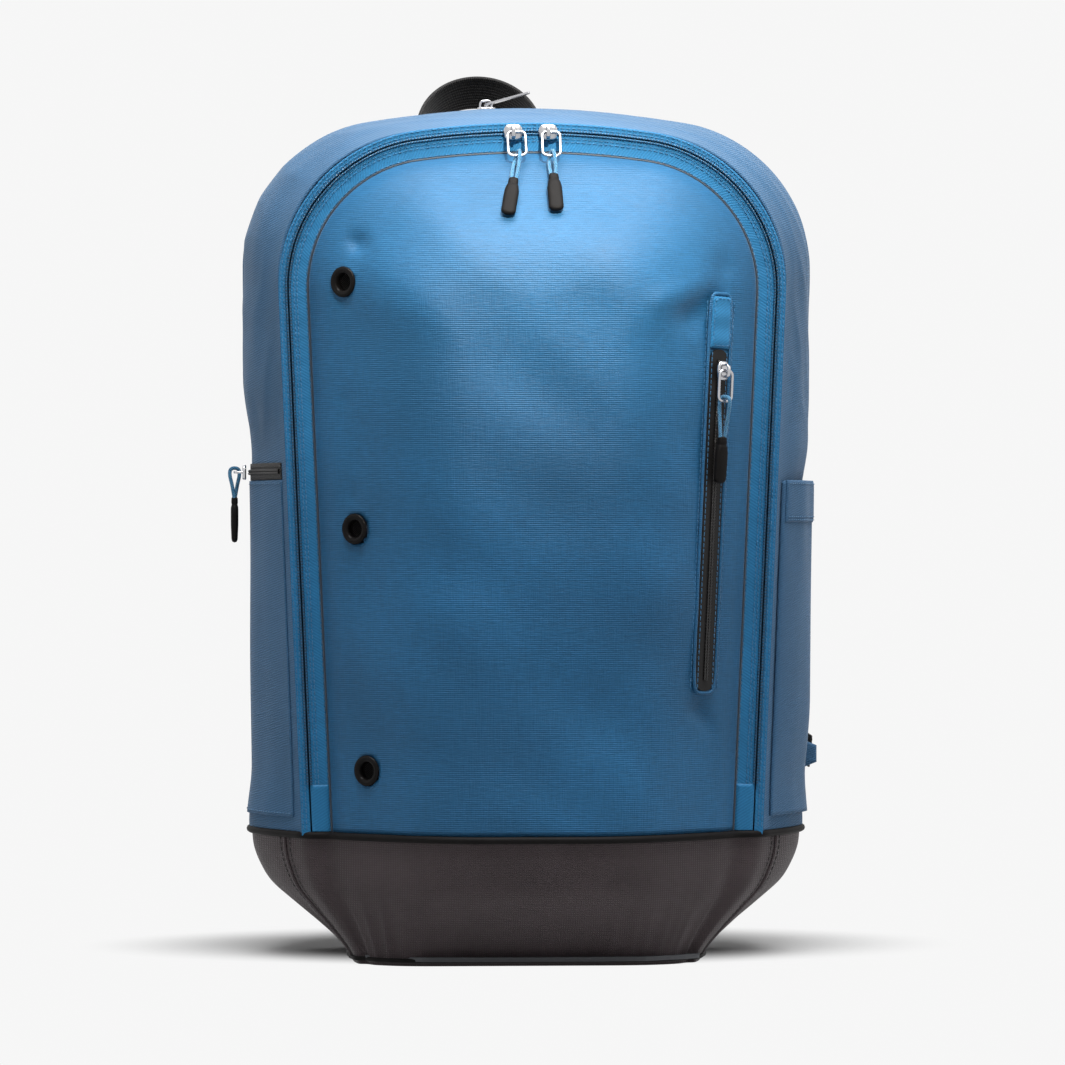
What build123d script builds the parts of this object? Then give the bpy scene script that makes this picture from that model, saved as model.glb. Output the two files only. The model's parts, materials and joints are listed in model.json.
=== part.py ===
from build123d import *
import os
from math import atan2, cos, degrees, pi, radians, sin, sqrt, tan

# Racket backpack, millimetres. Seen from the front, X runs to the right; the front panel faces -Y,
# Z is up, and the bag stands on Z = 0. Left and right are as seen from the front.

# ---- driving dimensions: body ----
body_height = 496.0          # floor to the top of the body, handle left out
seam_z = 74.0                # seam between the base and the body above it
crown_radius = 468.0         # radius of the shallow arch along the top
shoulder_radius = 85.0       # round top corners, at the zip line
zip_y = -62.0                # plane of the main zip
widest_y = 0.0               # where the bag is widest
swell_y = -25.0              # section of the gusset part way to the widest one
divider_y = 33.0             # padded wall between the two compartments
back_y = 78.0                # plane where the back panel is sewn on
zip_half_low = 126.5         # half width of the zip line at the seam
zip_half_top = 143.0         # half width of the zip line at the shoulders
zip_top = 476.0              # height of the zip line at the middle
widest_half_low = 159.0      # half width of the body at the seam
widest_half_top = 162.0      # half width of the body at the shoulders
swell_low_in = 9.0           # how much narrower the section at swell_y is, at the seam
swell_top_in = 4.5           # the same at the shoulders
swell_drop = 5.0             # how much lower the top is at swell_y
widest_drop = 1.0            # the same at widest_y
back_narrowing = 12.0        # how much each side comes in at the back panel
back_drop = 10.0             # how much lower the top is at the back panel
wall = 2.5                   # lined and padded fabric
base_floor = 2.5             # base fabric and its coating
gap = 0.3                    # clearance between pieces that move or only lie together

# ---- driving dimensions: base ----
foot_half = 101.0            # half width of the footprint
foot_front = -84.0           # front edge of the footprint
foot_back = 62.0             # back edge of the footprint
foot_fullness = 1.8          # how square the footprint's corners are
base_knee_z = 30.0           # height where the base turns in more steeply
base_knee_share = 0.3        # how far towards the footprint the plan has shrunk at the knee
floor_share = 0.94           # the same at the top of the base fabric's floor
plan_middle = 15.0           # depth about which the plan shrinks
board_thick = 2.5

# ---- driving dimensions: main zip ----
tape = 1.2                   # thickness of a zip tape
panel_tape_width = 11.0      # tape seen beside the front panel
bag_tape_width = 5.0         # tape seen beside the gusset
zip_slit = 0.5               # half the slit between the two coils
coil_width = 1.6
coil_height = 1.4
zip_end_z = 103.0            # where the coils stop

# ---- driving dimensions: front panel ----
panel_depth = 54.0           # how far the panel stands out of the zip plane
rim_depth = 10.0             # steep rim next to the tape
rim_inset = 5.0
flank_depth = 42.0           # sloping flank that carries eyelets and pocket zip
flank_inset = 45.0
cap_inset = 80.0
panel_wall = 2.0
piping = 3.5                 # diameter of the cord piping in the base seam
skin_seat = 0.2              # how far flat trim stands off the panel's flank

# ---- driving dimensions: zip hardware ----
slider_length = 11.0
slider_width = 9.0
slider_plate = 2.2
bridge_length = 8.0
bridge_width = 2.4
bridge_bar = 1.4
ring_wire = 1.8
ring_width = 12.0
ring_height = 19.0
ring_corner = 3.2
cord_diameter = 2.2
pull_length = 27.0
pull_width = 8.5
pull_thick = 4.5

# ---- driving dimensions: pockets and trim ----
pocket_zip_inset = 23.5      # distance of the pocket zip from the panel's edge
pocket_zip_low = 157.0
pocket_zip_high = 351.0
pocket_tape_width = 14.0
garage_length = 30.0
eyelet_outer = 17.5
eyelet_hole = 9.4
eyelet_rim = 1.6
eyelet_places = ((21.0, 389.0), (21.0, 249.0), (21.5, 112.0))
side_pocket_top = 277.0
side_pocket_foot = 84.0
side_pocket_gap = 6.5        # room inside the open pocket
side_pocket_wall = 1.2
hem_height = 24.0

# ---- driving dimensions: back, straps and handle ----
back_panel_thick = 3.0
pad_thick = 9.0
strap_thick = 11.0
strap_width = 58.0
strap_top_x = 46.0
strap_top_z = 428.0
strap_middle_x = 72.0
strap_middle_z = 315.0
strap_end_x = 76.0
strap_end_z = 205.0
lock_z = 188.0
lock_width = 28.0
lock_height = 22.0
lock_thick = 5.0
lock_slot = 3.4
yoke_z = 452.0
yoke_width = 170.0
yoke_height = 26.0
back_pad_width = 100.0
back_pad_height = 290.0
back_pad_x = 62.0
back_pad_z = 290.0
lumbar_width = 224.0
lumbar_height = 56.0
lumbar_z = 114.0
webbing = 1.8
strap_webbing_width = 20.0
handle_webbing_width = 25.0
handle_span = 77.0
handle_rise = 50.0
handle_lean = 45.0           # degrees from upright, towards the back
handle_x = -24.0

panel_foot = seam_z + piping / 2 + gap + 0.1


# ---- outlines ----
def upright(y):
    """Work plane at depth y whose own axes run along X and Z and whose normal faces the front."""
    return Plane(origin=(0, y, 0), x_dir=(1, 0, 0), z_dir=(0, -1, 0))


def arch(y, half_low, half_top, top, corner, foot=seam_z):
    """Upright face at depth y: sloping sides, round shoulders and a shallow crown."""
    eave = top - crown_radius + sqrt(crown_radius**2 - half_top**2)
    slope = (half_top - half_low) / (eave - seam_z)
    half_foot = half_low + slope * (foot - seam_z)
    sides = Polyline((-half_top, eave), (-half_foot, foot), (half_foot, foot), (half_top, eave))
    crown = ThreePointArc((-half_top, eave), (0, top), (half_top, eave))
    face = make_face(sides + crown)
    shoulders = face.vertices().filter_by(lambda vertex: vertex.Y > foot + 1)
    return upright(y) * fillet(shoulders, corner)


def zip_arch(y, grow, foot=seam_z):
    """The zip line's outline, grown outwards (or inwards when negative)."""
    corner = max(shoulder_radius + grow, 6.0)
    return arch(y, zip_half_low + grow, zip_half_top + grow, zip_top + grow, corner, foot)


def zip_band(y_front, y_back, inner, outer, foot=seam_z):
    """Flat band between two grown zip outlines, open at the foot."""
    depth = y_back - y_front
    solid = extrude(zip_arch(y_back, outer, foot), amount=depth)
    hollow = extrude(zip_arch(y_back + 1, inner, foot - 5), amount=depth + 2)
    return solid - hollow


def shell(stations, thick):
    """Hollow band through upright outlines (y, half_low, half_top, top), open front, back and foot."""
    outer = [arch(y, low, high, top, shoulder_radius) for y, low, high, top in stations]
    inner = []
    corner = shoulder_radius - thick
    for index, (y, low, high, top) in enumerate(stations):
        y_past = y - 0.5 if index == 0 else y + 0.5 if index == len(stations) - 1 else y
        inner.append(arch(y_past, low - thick, high - thick, top - thick, corner, seam_z - 1))
    return loft(outer, ruled=True) - loft(inner, ruled=True)


def slab(y_front, y_back, low, high, top, foot=seam_z):
    """Flat upright slab with the arched outline."""
    return extrude(arch(y_back, low, high, top, shoulder_radius, foot), amount=y_back - y_front)


def above(solid, z):
    """Keep what lies above height z."""
    return solid - Pos(0, 0, z - 500) * Box(1000, 1000, 1000)


def side_half(solid, side):
    """Keep the half on one side of the middle: -1 left, +1 right."""
    return solid & Pos(side * 500, 0, 500) * Box(1000, 1000, 1200)


# ---- body stations: depth, half width at the seam and at the shoulders, top ----
gusset_front = zip_y + tape
front_grow = zip_slit + bag_tape_width
body_stations = [
    (gusset_front, zip_half_low + front_grow, zip_half_top + front_grow, zip_top + front_grow),
    (swell_y, widest_half_low - swell_low_in, widest_half_top - swell_top_in, body_height - swell_drop),
    (widest_y, widest_half_low, widest_half_top, body_height - widest_drop),
    (divider_y, widest_half_low, widest_half_top, body_height),
]
rear_stations = [
    (divider_y + tape, widest_half_low, widest_half_top, body_height),
    (back_y, widest_half_low - back_narrowing, widest_half_top - back_narrowing, body_height - back_drop),
]
panel_edge = -zip_slit - panel_tape_width
crown_stations = [(0.0, 0.0), (rim_depth, rim_inset), (flank_depth, flank_inset), (panel_depth, cap_inset)]


def seam_plan():
    """Right half of the bag's plan at the base seam, from the front middle round to the back."""
    low = zip_half_low + panel_edge
    right = [(low - inset, zip_y - depth) for depth, inset in reversed(crown_stations[1:])]
    right.append((zip_half_low + front_grow, zip_y))
    right += [(half, y) for y, half, _, _ in body_stations[1:] + rear_stations]
    return right


def footprint(x, y):
    """Where a point of the seam plan comes down on the floor: a smaller, squarer plan."""
    wide = 1 - (1 - x / widest_half_low) ** foot_fullness
    if y < plan_middle:
        deep = 1 - (1 - (plan_middle - y) / (plan_middle - zip_y + panel_depth)) ** foot_fullness
        return foot_half * wide, plan_middle - (plan_middle - foot_front) * deep
    squeeze = (foot_back - plan_middle) / (back_y - plan_middle)
    return foot_half * wide, plan_middle + (y - plan_middle) * squeeze


def plan_face(z, share, inset=0.0):
    """Level plan of the base; share runs from 0 at the seam to 1 at the floor."""
    scale_x = 1 - inset / widest_half_low
    scale_y = 1 - 2 * inset / (back_y - zip_y + panel_depth)
    right = []
    for x, y in seam_plan():
        foot_x, foot_y = footprint(x, y)
        level_x = x + share * (foot_x - x)
        level_y = y + share * (foot_y - y)
        right.append((level_x * scale_x, plan_middle + (level_y - plan_middle) * scale_y))
    left = [(-x, y) for x, y in reversed(right)]
    return Pos(0, 0, z) * make_face(Polyline(*right, *left, close=True))


# ---- body pieces ----
def base_shell():
    """Charcoal tub: its plan shrinks towards the floor."""
    outer = [plan_face(0, 1), plan_face(base_knee_z, base_knee_share), plan_face(seam_z, 0)]
    inner = [plan_face(base_floor, floor_share, wall), plan_face(base_knee_z, base_knee_share, wall)]
    inner.append(plan_face(seam_z + 0.5, 0, wall))
    return loft(outer, ruled=True) - loft(inner, ruled=True)


def base_piping():
    """Corded piping in the seam, standing proud all round."""
    face = plan_face(seam_z - piping / 2, 0)
    ring = offset(face, amount=piping * 0.6, kind=Kind.INTERSECTION)
    ring -= offset(face, amount=0.05, kind=Kind.INTERSECTION)
    return extrude(ring, amount=piping)


def base_board():
    """Stiff board that lies on the base floor."""
    return extrude(plan_face(base_floor + gap, floor_share, wall + 3), amount=board_thick)


def front_panel():
    """Crowned front panel: a thin shell, open at its back."""
    outer_sections = [zip_arch(zip_y - depth, panel_edge - inset) for depth, inset in crown_stations]
    inner_sections = []
    for depth, inset in crown_stations:
        y = zip_y + 0.5 if depth == 0 else zip_y - depth + panel_wall
        inner_sections.append(zip_arch(y, panel_edge - inset - panel_wall, seam_z - 5))
    return above(loft(outer_sections, ruled=True) - loft(inner_sections, ruled=True), panel_foot)


def panel_half(inset, z):
    """Half width of the panel at height z, for a crown outline set in from the panel's edge."""
    grow = panel_edge - inset
    eave = zip_top + grow - crown_radius + sqrt(crown_radius**2 - (zip_half_top + grow)**2)
    return zip_half_low + grow + (zip_half_top - zip_half_low) * (z - seam_z) / (eave - seam_z)


def flank(side, inset, z):
    """Plane on the panel's sloping flank: local Y runs up the flank, local Z points out of the bag."""
    def rim(height):
        return Vector(side * panel_half(rim_inset, height), zip_y - rim_depth, height)

    across = Vector(side * panel_half(flank_inset, z), zip_y - flank_depth, z) - rim(z)
    up = rim(z + 50) - rim(z - 50)
    normal = across.cross(up).normalized()
    if normal.Y > 0:
        normal = normal * -1
    origin = rim(z) + across * ((inset - rim_inset) / (flank_inset - rim_inset)) + normal * skin_seat
    return Plane(origin=origin, x_dir=up.cross(normal), z_dir=normal)


# ---- zip hardware, in a local frame: X is the bar that the pull hangs on, Y points up, Z out ----
eye_height = ring_wire * sqrt(2) + 2 * gap
eye_z = slider_plate + eye_height / 2
link_drop = ring_height - ring_wire
link_shift = 1.6             # the main links hang a little to one side of their sliders
fold_radius = 1.42 * (ring_wire / 2 + cord_diameter / 2 + gap)
cord_spread = 1.3            # half the distance between the cord's two strands
cord_seat = 2.5              # how far the cord runs into the moulded pull
fold_room = 3.9              # from the side slider's bar down to its plate


def zip_slider(width, length, room=eye_height):
    """Plate with a staple-shaped bridge whose eye is open along X; Z = 0 is the plate's back."""
    plate = extrude(RectangleRounded(width, length, 2.0), amount=slider_plate)
    height = room + bridge_bar
    bridge = Pos(0, 0, slider_plate + height / 2) * Box(bridge_width, bridge_length, height)
    eye = Pos(0, 0, slider_plate + room / 2) * Box(bridge_width + 1, bridge_length - 2 * bridge_bar, room)
    return plate + (bridge - eye)


def side_slider_body():
    """The side slider's bridge runs along X, so the cord can hang straight from its bar."""
    plate = extrude(RectangleRounded(slider_length, slider_width, 2.0), amount=slider_plate)
    height = fold_room + bridge_bar
    bridge = Pos(0, 0, slider_plate + height / 2) * Box(slider_length - 1, bridge_bar, height)
    eye_length = slider_length - 1 - 2 * bridge_bar
    eye = Pos(0, 0, slider_plate + fold_room / 2) * Box(eye_length, bridge_bar + 1, fold_room)
    return plate + (bridge - eye)


def link_ring(shift):
    """Oblong wire link, hung by its top bar; the local origin is that bar's centre."""
    outer = RectangleRounded(ring_width, ring_height, ring_corner)
    inner_width, inner_height = ring_width - 2 * ring_wire, ring_height - 2 * ring_wire
    inner = RectangleRounded(inner_width, inner_height, ring_corner - ring_wire)
    return Pos(shift, -link_drop / 2, -ring_wire / 2) * extrude(outer - inner, amount=ring_wire)


def tag_route(drop):
    """Cord route from inside the moulded pull, up round a bar at the local origin and back down."""
    end = -drop - cord_seat
    r = fold_radius
    return [
        (-cord_spread, end, 0),
        (-cord_spread - 0.5, end / 2, -0.4 * r),
        (-cord_spread, -0.34 * r, -0.94 * r),
        (-cord_spread * 0.6, 0.77 * r, -0.7 * r),
        (cord_spread * 0.6, 0.77 * r, 0.7 * r),
        (cord_spread, -0.34 * r, 0.94 * r),
        (cord_spread + 0.4, end / 2, 0.35 * r),
        (cord_spread, end, 0),
    ]


def bend_radii(points):
    """Each bend is as large as its two runs allow."""
    radii = []
    for before, here, after in zip(points, points[1:], points[2:]):
        first = Vector(here) - Vector(before)
        second = Vector(after) - Vector(here)
        shorter = min(first.length, second.length)
        radii.append(0.45 * shorter / tan(radians(first.get_angle(second) / 2)))
    return radii


def cord_tube(points):
    """Plain tube along straight runs and tangent bends."""
    path = FilletPolyline(*points, radius=bend_radii(points))
    section = Plane(origin=path @ 0, z_dir=path % 0) * Circle(cord_diameter / 2)
    return sweep(section, path=path), path.length


def moulded_pull(drop):
    body = extrude(RectangleRounded(pull_width, pull_length, 3.2), amount=pull_thick)
    body = fillet(body.edges().group_by(Axis.Z)[0] + body.edges().group_by(Axis.Z)[-1], 1.2)
    return Pos(0, -drop - pull_length / 2, -pull_thick / 2) * body


def flat_puller(length=28.0, thick=1.2):
    """Flat metal puller with a window round the bridge and an oblong hole near its end."""
    plate = Pos(0, ring_wire / 2 - length / 2) * RectangleRounded(slider_width, length, 3.0)
    window = Pos(0, -ring_wire / 2 - 2.4) * Rectangle(slider_width - 2 * ring_wire, 4.8)
    hole = Pos(0, ring_wire / 2 - length + 8.0) * SlotOverall(9.0, 4.4, rotation=90)
    return Pos(0, 0, -thick / 2) * extrude(plate - window - hole, amount=thick)


def tilt(angle):
    """Turn about the local X axis; positive swings what hangs down out of the bag."""
    return Rot(-angle, 0, 0)


# ---- places of the sliders ----
zip_centre_z = zip_top - crown_radius
main_slider_y = zip_y - coil_height - gap
main_slider_x = {"left": -11.5, "right": 8.5}
main_drops = {"left": 17.0, "right": 13.5}
main_sway = {"left": -10.0, "right": 3.0}     # how far each pull hangs from plumb, degrees
pocket_slider_z = 339.0
pocket_drop = 20.0
side_drop = 14.0
rear_zip_y = 44.0
rear_zip_foot = 300.0        # height of the rear zip's ends
rear_slider_x = -22.0
rear_puller_rise = 13.0
link_lean = 34.0
flank_angle = degrees(atan2(flank_depth - rim_depth, flank_inset - rim_inset))
tag_settle = 2.5             # how much the pull end leans closer to the panel
side_slider_y = widest_y + 7.0
pocket_stack = 0.8 + coil_height + 2 * gap


def main_slider_frame(side):
    """Frame of a main zip slider: it sits on the top arc of the zip."""
    angle = atan2(main_slider_x[side], crown_radius)
    z = zip_centre_z + crown_radius * cos(angle)
    origin = (main_slider_x[side], main_slider_y, z)
    return Location(Plane(origin=origin, x_dir=(cos(angle), 0, -sin(angle)), z_dir=(0, -1, 0)))


def pocket_frame(z, lift):
    """Frame on the pocket zip at height z, lifted off the panel's flank."""
    return Location(flank(1, pocket_zip_inset, z)) * Pos(0, 0, lift)


def body_at(y):
    """Half width at the seam and shoulders and top height of the body at depth y."""
    stations = body_stations + rear_stations[1:]
    for front, back in zip(stations, stations[1:]):
        if y <= back[0]:
            share = (y - front[0]) / (back[0] - front[0])
            return [a + share * (b - a) for a, b in zip(front[1:], back[1:])]
    return list(stations[-1][1:])


side_front_y = -54.0
side_depths = (side_front_y, swell_y, widest_y, divider_y - 12, divider_y - 1)


def side_skin(inner, outer, low, high, side):
    """Piece of skin on one side of the gusset between two distances from it and two heights."""
    solids = []
    for distance, spill in ((outer, 0.0), (inner, 0.4)):
        faces = []
        for index, y in enumerate(side_depths):
            half_low, half_top, top = body_at(y)
            ends = index in (0, len(side_depths) - 1)
            out = min(distance, gap + 0.9) if ends else distance
            y_cut = y - spill if index == 0 else y + spill if index == len(side_depths) - 1 else y
            faces.append(arch(y_cut, half_low + out, half_top + out, top + out, shoulder_radius))
        solids.append(loft(faces, ruled=True))
    band = Pos(side * 250, 0, (low + high) / 2) * Box(500, 400, high - low)
    return (solids[0] - solids[1]) & band


def rear_skin(inner, outer, half_wide, foot):
    """Band over the rear compartment between two distances from its fabric, down to the zip's ends."""
    solids = []
    for distance, spill in ((outer, 0.0), (inner, 0.5)):
        faces = []
        for y in (rear_zip_y - half_wide, rear_zip_y + half_wide):
            low, high, top = [value + distance for value in body_at(y)]
            y_cut = y - spill if y < rear_zip_y else y + spill
            faces.append(arch(y_cut, low, high, top, shoulder_radius, seam_z - spill))
        solids.append(loft(faces, ruled=True))
    return above(solids[0] - solids[1], foot)


# ---- back, straps and handle ----
panel_back = back_y + back_panel_thick
pad_back = panel_back + pad_thick
strap_back = pad_back + gap + strap_thick


def cushion(width, height, x, z, thick=pad_thick, corner=18.0):
    """Soft pad with rounded corners, sewn on the back panel."""
    face = Pos(x, z) * RectangleRounded(width, height, corner)
    return upright(panel_back + thick) * extrude(face, amount=thick)


def shoulder_strap(side):
    """Padded strap that curves down the back, seen from behind."""
    top, middle = (side * strap_top_x, strap_top_z), (side * strap_middle_x, strap_middle_z)
    line = ThreePointArc(top, middle, (side * strap_end_x, strap_end_z))
    face = trace(line, line_width=strap_width)
    front = pad_back + gap
    return upright(front + strap_thick) * extrude(face, amount=strap_thick)


def ribbon(points, wide, normal):
    """Flat webbing in straight runs; each run's width lies square to its direction."""
    runs = None
    for start, end in zip(points, points[1:]):
        along = Vector(end) - Vector(start)
        middle = (Vector(start) + Vector(end)) * 0.5
        face = along.cross(Vector(normal)).cross(along)
        run = Box(along.length + webbing, wide, webbing)
        run = Location(Plane(origin=middle, x_dir=along, z_dir=face)) * run
        runs = run if runs is None else runs + run
    return runs


def strap_path(side):
    """Webbing route from the strap's end to the anchor tab low on the side."""
    y = strap_back + webbing / 2 + 0.1
    sewn, hanging = (side * strap_end_x, y, strap_end_z + 20), (side * strap_end_x, y, lock_z - 14)
    tab = (side * (anchor_tip_x - 3), anchor_y + 4, (anchor_low + anchor_high) / 2 + 1)
    return [sewn, hanging, (side * 120, y, 142), (side * 162, y - 8, 124), tab]


anchor_y = 58.0
anchor_tip_x = 176.0
anchor_high = 129.0
anchor_low = 101.0


def anchor_tab(side):
    """Folded triangle of webbing sewn into the side seam."""
    half = body_at(anchor_y)[0] + 1.9
    middle = (anchor_high + anchor_low) / 2
    face = make_face(Polyline((side * half, anchor_high), (side * anchor_tip_x, middle + 4),
                              (side * anchor_tip_x, middle - 4), (side * half, anchor_low), close=True))
    return upright(anchor_y) * extrude(face, amount=5.0)


def handle_loop():
    """Webbing loop that leans back from the top of the back panel."""
    outer = Ellipse(handle_span / 2, handle_rise)
    inner = Ellipse(handle_span / 2 - 2 * webbing, handle_rise - 2 * webbing)
    half = Pos(0, 100) * Rectangle(200, 200)
    loop = extrude((outer - inner) & half, amount=handle_webbing_width / 2, both=True)
    return handle_frame() * loop


def handle_frame():
    lean = radians(handle_lean)
    return Location(Plane(origin=(handle_x, handle_root_y, handle_root_z), x_dir=(1, 0, 0),
                          z_dir=(0, -cos(lean), sin(lean))))


handle_root_y = panel_back + 13.0
handle_root_z = 478.0
ear_thick = 3.0
ear_deep = 16.0


# ---- assembly ----
def build_parts():
    """Every node by name, still measured from the zip's own depth origin."""
    nodes = {}
    lengths = {}
    nodes["base_shell"] = base_shell()
    nodes["base_piping"] = base_piping()
    nodes["base_board"] = base_board()
    nodes["gusset"] = shell(body_stations, wall)
    nodes["rear_gusset"] = shell(rear_stations, wall)
    nodes["compartment_divider"] = slab(divider_y - 4, divider_y - 1.5, widest_half_low - wall - gap,
                                        widest_half_top - wall - gap, body_height - wall - gap)
    nodes["back_panel"] = slab(back_y, panel_back, *rear_stations[1][1:], foot=panel_foot)
    nodes["bag_zip_tape"] = zip_band(zip_y, zip_y + tape, zip_slit, front_grow)
    coil = zip_band(zip_y - coil_height, zip_y, zip_slit, zip_slit + coil_width)
    nodes["bag_zip_coil"] = above(coil, zip_end_z)

    panel = front_panel()
    for inset, z in eyelet_places:
        panel -= Location(flank(-1, inset, z)) * Cylinder(eyelet_hole / 2 + 1.0, 20)
    nodes["front_panel"] = panel
    nodes["panel_lining"] = slab_of_lining()
    nodes["panel_zip_tape"] = zip_band(zip_y, zip_y + tape, panel_edge, -zip_slit, panel_foot)
    coil = zip_band(zip_y - coil_height, zip_y, -zip_slit - coil_width, -zip_slit)
    nodes["panel_zip_coil"] = above(coil, zip_end_z)
    tabs = zip_band(zip_y - tape, zip_y, panel_edge, -zip_slit, panel_foot)
    tabs -= Pos(0, 0, zip_end_z + 500) * Box(1000, 1000, 1000)
    nodes["zip_end_tab_left"] = side_half(tabs, -1)
    nodes["zip_end_tab_right"] = side_half(tabs, 1)

    nodes["eyelets"] = Compound([eyelet(inset, z) for inset, z in eyelet_places])
    nodes["eyelet_meshes"] = Compound([eyelet_mesh(inset, z) for inset, z in eyelet_places])

    middle_z = (pocket_zip_low + pocket_zip_high) / 2
    length = pocket_zip_high - pocket_zip_low
    frame = pocket_frame(middle_z, 0)
    nodes["pocket_zip_tape"] = frame * extrude(RectangleRounded(pocket_tape_width, length, 6.0), amount=0.8)
    nodes["pocket_zip_coil"] = frame * Pos(0, 0, 0.8 + coil_height / 2) * Box(3.0, length - 12, coil_height)
    hood = extrude(RectangleRounded(pocket_tape_width + 1.5, garage_length, 6.0), amount=1.5)
    nodes["pocket_zip_garage"] = pocket_frame(pocket_zip_high + garage_length / 2 + 0.5, 0) * hood

    for side in ("left", "right"):
        frame = main_slider_frame(side)
        shift = link_shift
        nodes[f"main_slider_{side}"] = frame * zip_slider(slider_length, slider_width)
        link = frame * Pos(0, 0, eye_z) * tilt(link_lean)
        nodes[f"main_link_{side}"] = link * link_ring(shift)
        hang = tilt(flank_angle - tag_settle - link_lean) * Rot(0, 0, main_sway[side])
        bar = link * Pos(shift, -link_drop, 0)
        tube, length = cord_tube(tag_route(main_drops[side]))
        nodes[f"main_cord_{side}"] = bar * hang * tube
        nodes[f"main_pull_{side}"] = bar * hang * moulded_pull(main_drops[side])
        lengths[f"main_cord_{side}"] = length

    frame = pocket_frame(pocket_slider_z, pocket_stack)
    nodes["pocket_slider"] = frame * zip_slider(slider_width, slider_length)
    link = frame * Pos(0, 0, eye_z)
    nodes["pocket_link"] = link * link_ring(0)
    bar = link * Pos(0, -link_drop, 0) * tilt(-1.5)
    tube, lengths["pocket_cord"] = cord_tube(tag_route(pocket_drop))
    nodes["pocket_cord"] = bar * tube
    nodes["pocket_pull"] = bar * moulded_pull(pocket_drop)

    foot = side_pocket_foot
    top = side_pocket_top
    room = gap + side_pocket_gap
    pocket = side_skin(room, room + side_pocket_wall, foot, top, 1)
    pocket += side_skin(gap, room + side_pocket_wall, foot, foot + 1.5, 1)
    nodes["side_pocket_right"] = pocket
    nodes["side_pocket_hem"] = side_skin(room + side_pocket_wall + 0.2, room + side_pocket_wall + 1.2,
                                         top - hem_height, top, 1)
    nodes["side_pocket_left"] = side_skin(gap, gap + 2.2, foot, top, -1)
    nodes["side_zip_tape"] = side_skin(gap, gap + 1.0, top + gap, top + 10, -1)
    nodes["side_zip_coil"] = side_skin(gap + 1.05, gap + 1.05 + coil_height, top + 3.6, top + 6.6, -1)
    frame = side_frame()
    nodes["side_slider"] = frame * side_slider_body()
    bar = frame * Pos(0, 0, slider_plate + fold_room + bridge_bar / 2)
    tube, lengths["side_cord"] = cord_tube(tag_route(side_drop))
    nodes["side_cord"] = bar * tube
    nodes["side_pull"] = bar * moulded_pull(side_drop)

    rear = rear_frame()
    nodes["rear_zip_tape"] = rear_skin(2 * gap, 2 * gap + 1.0, 7.0, rear_zip_foot)
    nodes["rear_zip_coil"] = rear_skin(3 * gap + 1.0, 3 * gap + 1.0 + coil_height, 1.5, rear_zip_foot + 4)
    nodes["rear_slider"] = rear * zip_slider(slider_width, slider_length)
    nodes["rear_puller"] = rear * Pos(0, 0, eye_z) * tilt(rear_puller_rise) * flat_puller()

    for side, sign in (("left", -1), ("right", 1)):
        nodes[f"back_pad_{side}"] = cushion(back_pad_width, back_pad_height, sign * back_pad_x, back_pad_z)
        nodes[f"shoulder_strap_{side}"] = shoulder_strap(sign)
        nodes[f"ladder_lock_{side}"] = ladder_lock(sign)
        nodes[f"strap_webbing_{side}"] = ribbon(strap_path(sign), strap_webbing_width, (0, 1, 0))
        nodes[f"strap_anchor_{side}"] = anchor_tab(sign)
    nodes["lumbar_pad"] = cushion(lumbar_width, lumbar_height, 0, lumbar_z)
    nodes["strap_yoke"] = cushion(yoke_width, yoke_height, 0, yoke_z, pad_thick + gap + strap_thick, 8.0)
    nodes["handle_patch"] = handle_patch()
    nodes["grab_handle"] = handle_loop()
    return nodes, lengths


def slab_of_lining():
    """Lining that closes the front pocket behind the panel."""
    return extrude(zip_arch(zip_y + tape, panel_edge - 0.02, panel_foot), amount=tape)


def eyelet(inset, z):
    """Moulded eyelet: a flange on the panel and a barrel through it."""
    flange = Pos(0, 0, eyelet_rim / 2) * Cylinder(eyelet_outer / 2, eyelet_rim)
    barrel = Pos(0, 0, -2.0) * Cylinder(eyelet_hole / 2 + 0.9, 4.0)
    bore = Cylinder(eyelet_hole / 2, 12)
    return Location(flank(-1, inset, z)) * (flange + barrel - bore)


def eyelet_mesh(inset, z):
    return Location(flank(-1, inset, z)) * Pos(0, 0, -2.0) * Cylinder(eyelet_hole / 2 - 0.05, 0.5)


def side_frame():
    """Frame of the side pocket's slider on the left of the bag."""
    z = side_pocket_top + 5.1
    front, back = body_at(side_slider_y - 5), body_at(side_slider_y + 5)
    eave = body_height - crown_radius + sqrt(crown_radius**2 - widest_half_top**2)
    rise = (z - seam_z) / (eave - seam_z)
    halves = [low + rise * (high - low) for low, high, _ in (front, back)]
    along = Vector(halves[1] - halves[0], -10, 0).normalized()
    half = sum(halves) / 2 + gap + 1.05 + coil_height + gap + 0.4
    normal = Vector(0, 0, 1).cross(along)
    if normal.X > 0:
        normal = normal * -1
    level = Vector(0, 0, 1).cross(normal)
    return Location(Plane(origin=(-half, side_slider_y, z), x_dir=level, z_dir=normal))


def rear_frame():
    """Frame of the rear compartment's slider on the top of the bag."""
    top = body_at(rear_zip_y)[2]
    angle = atan2(rear_slider_x, crown_radius)
    out = crown_radius + 5 * gap + 1.0 + coil_height
    z = top - crown_radius + out * cos(angle)
    normal = (sin(angle), 0, cos(angle))
    return Location(Plane(origin=(out * sin(angle), rear_zip_y, z), x_dir=(0, 1, 0), z_dir=normal))


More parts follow.
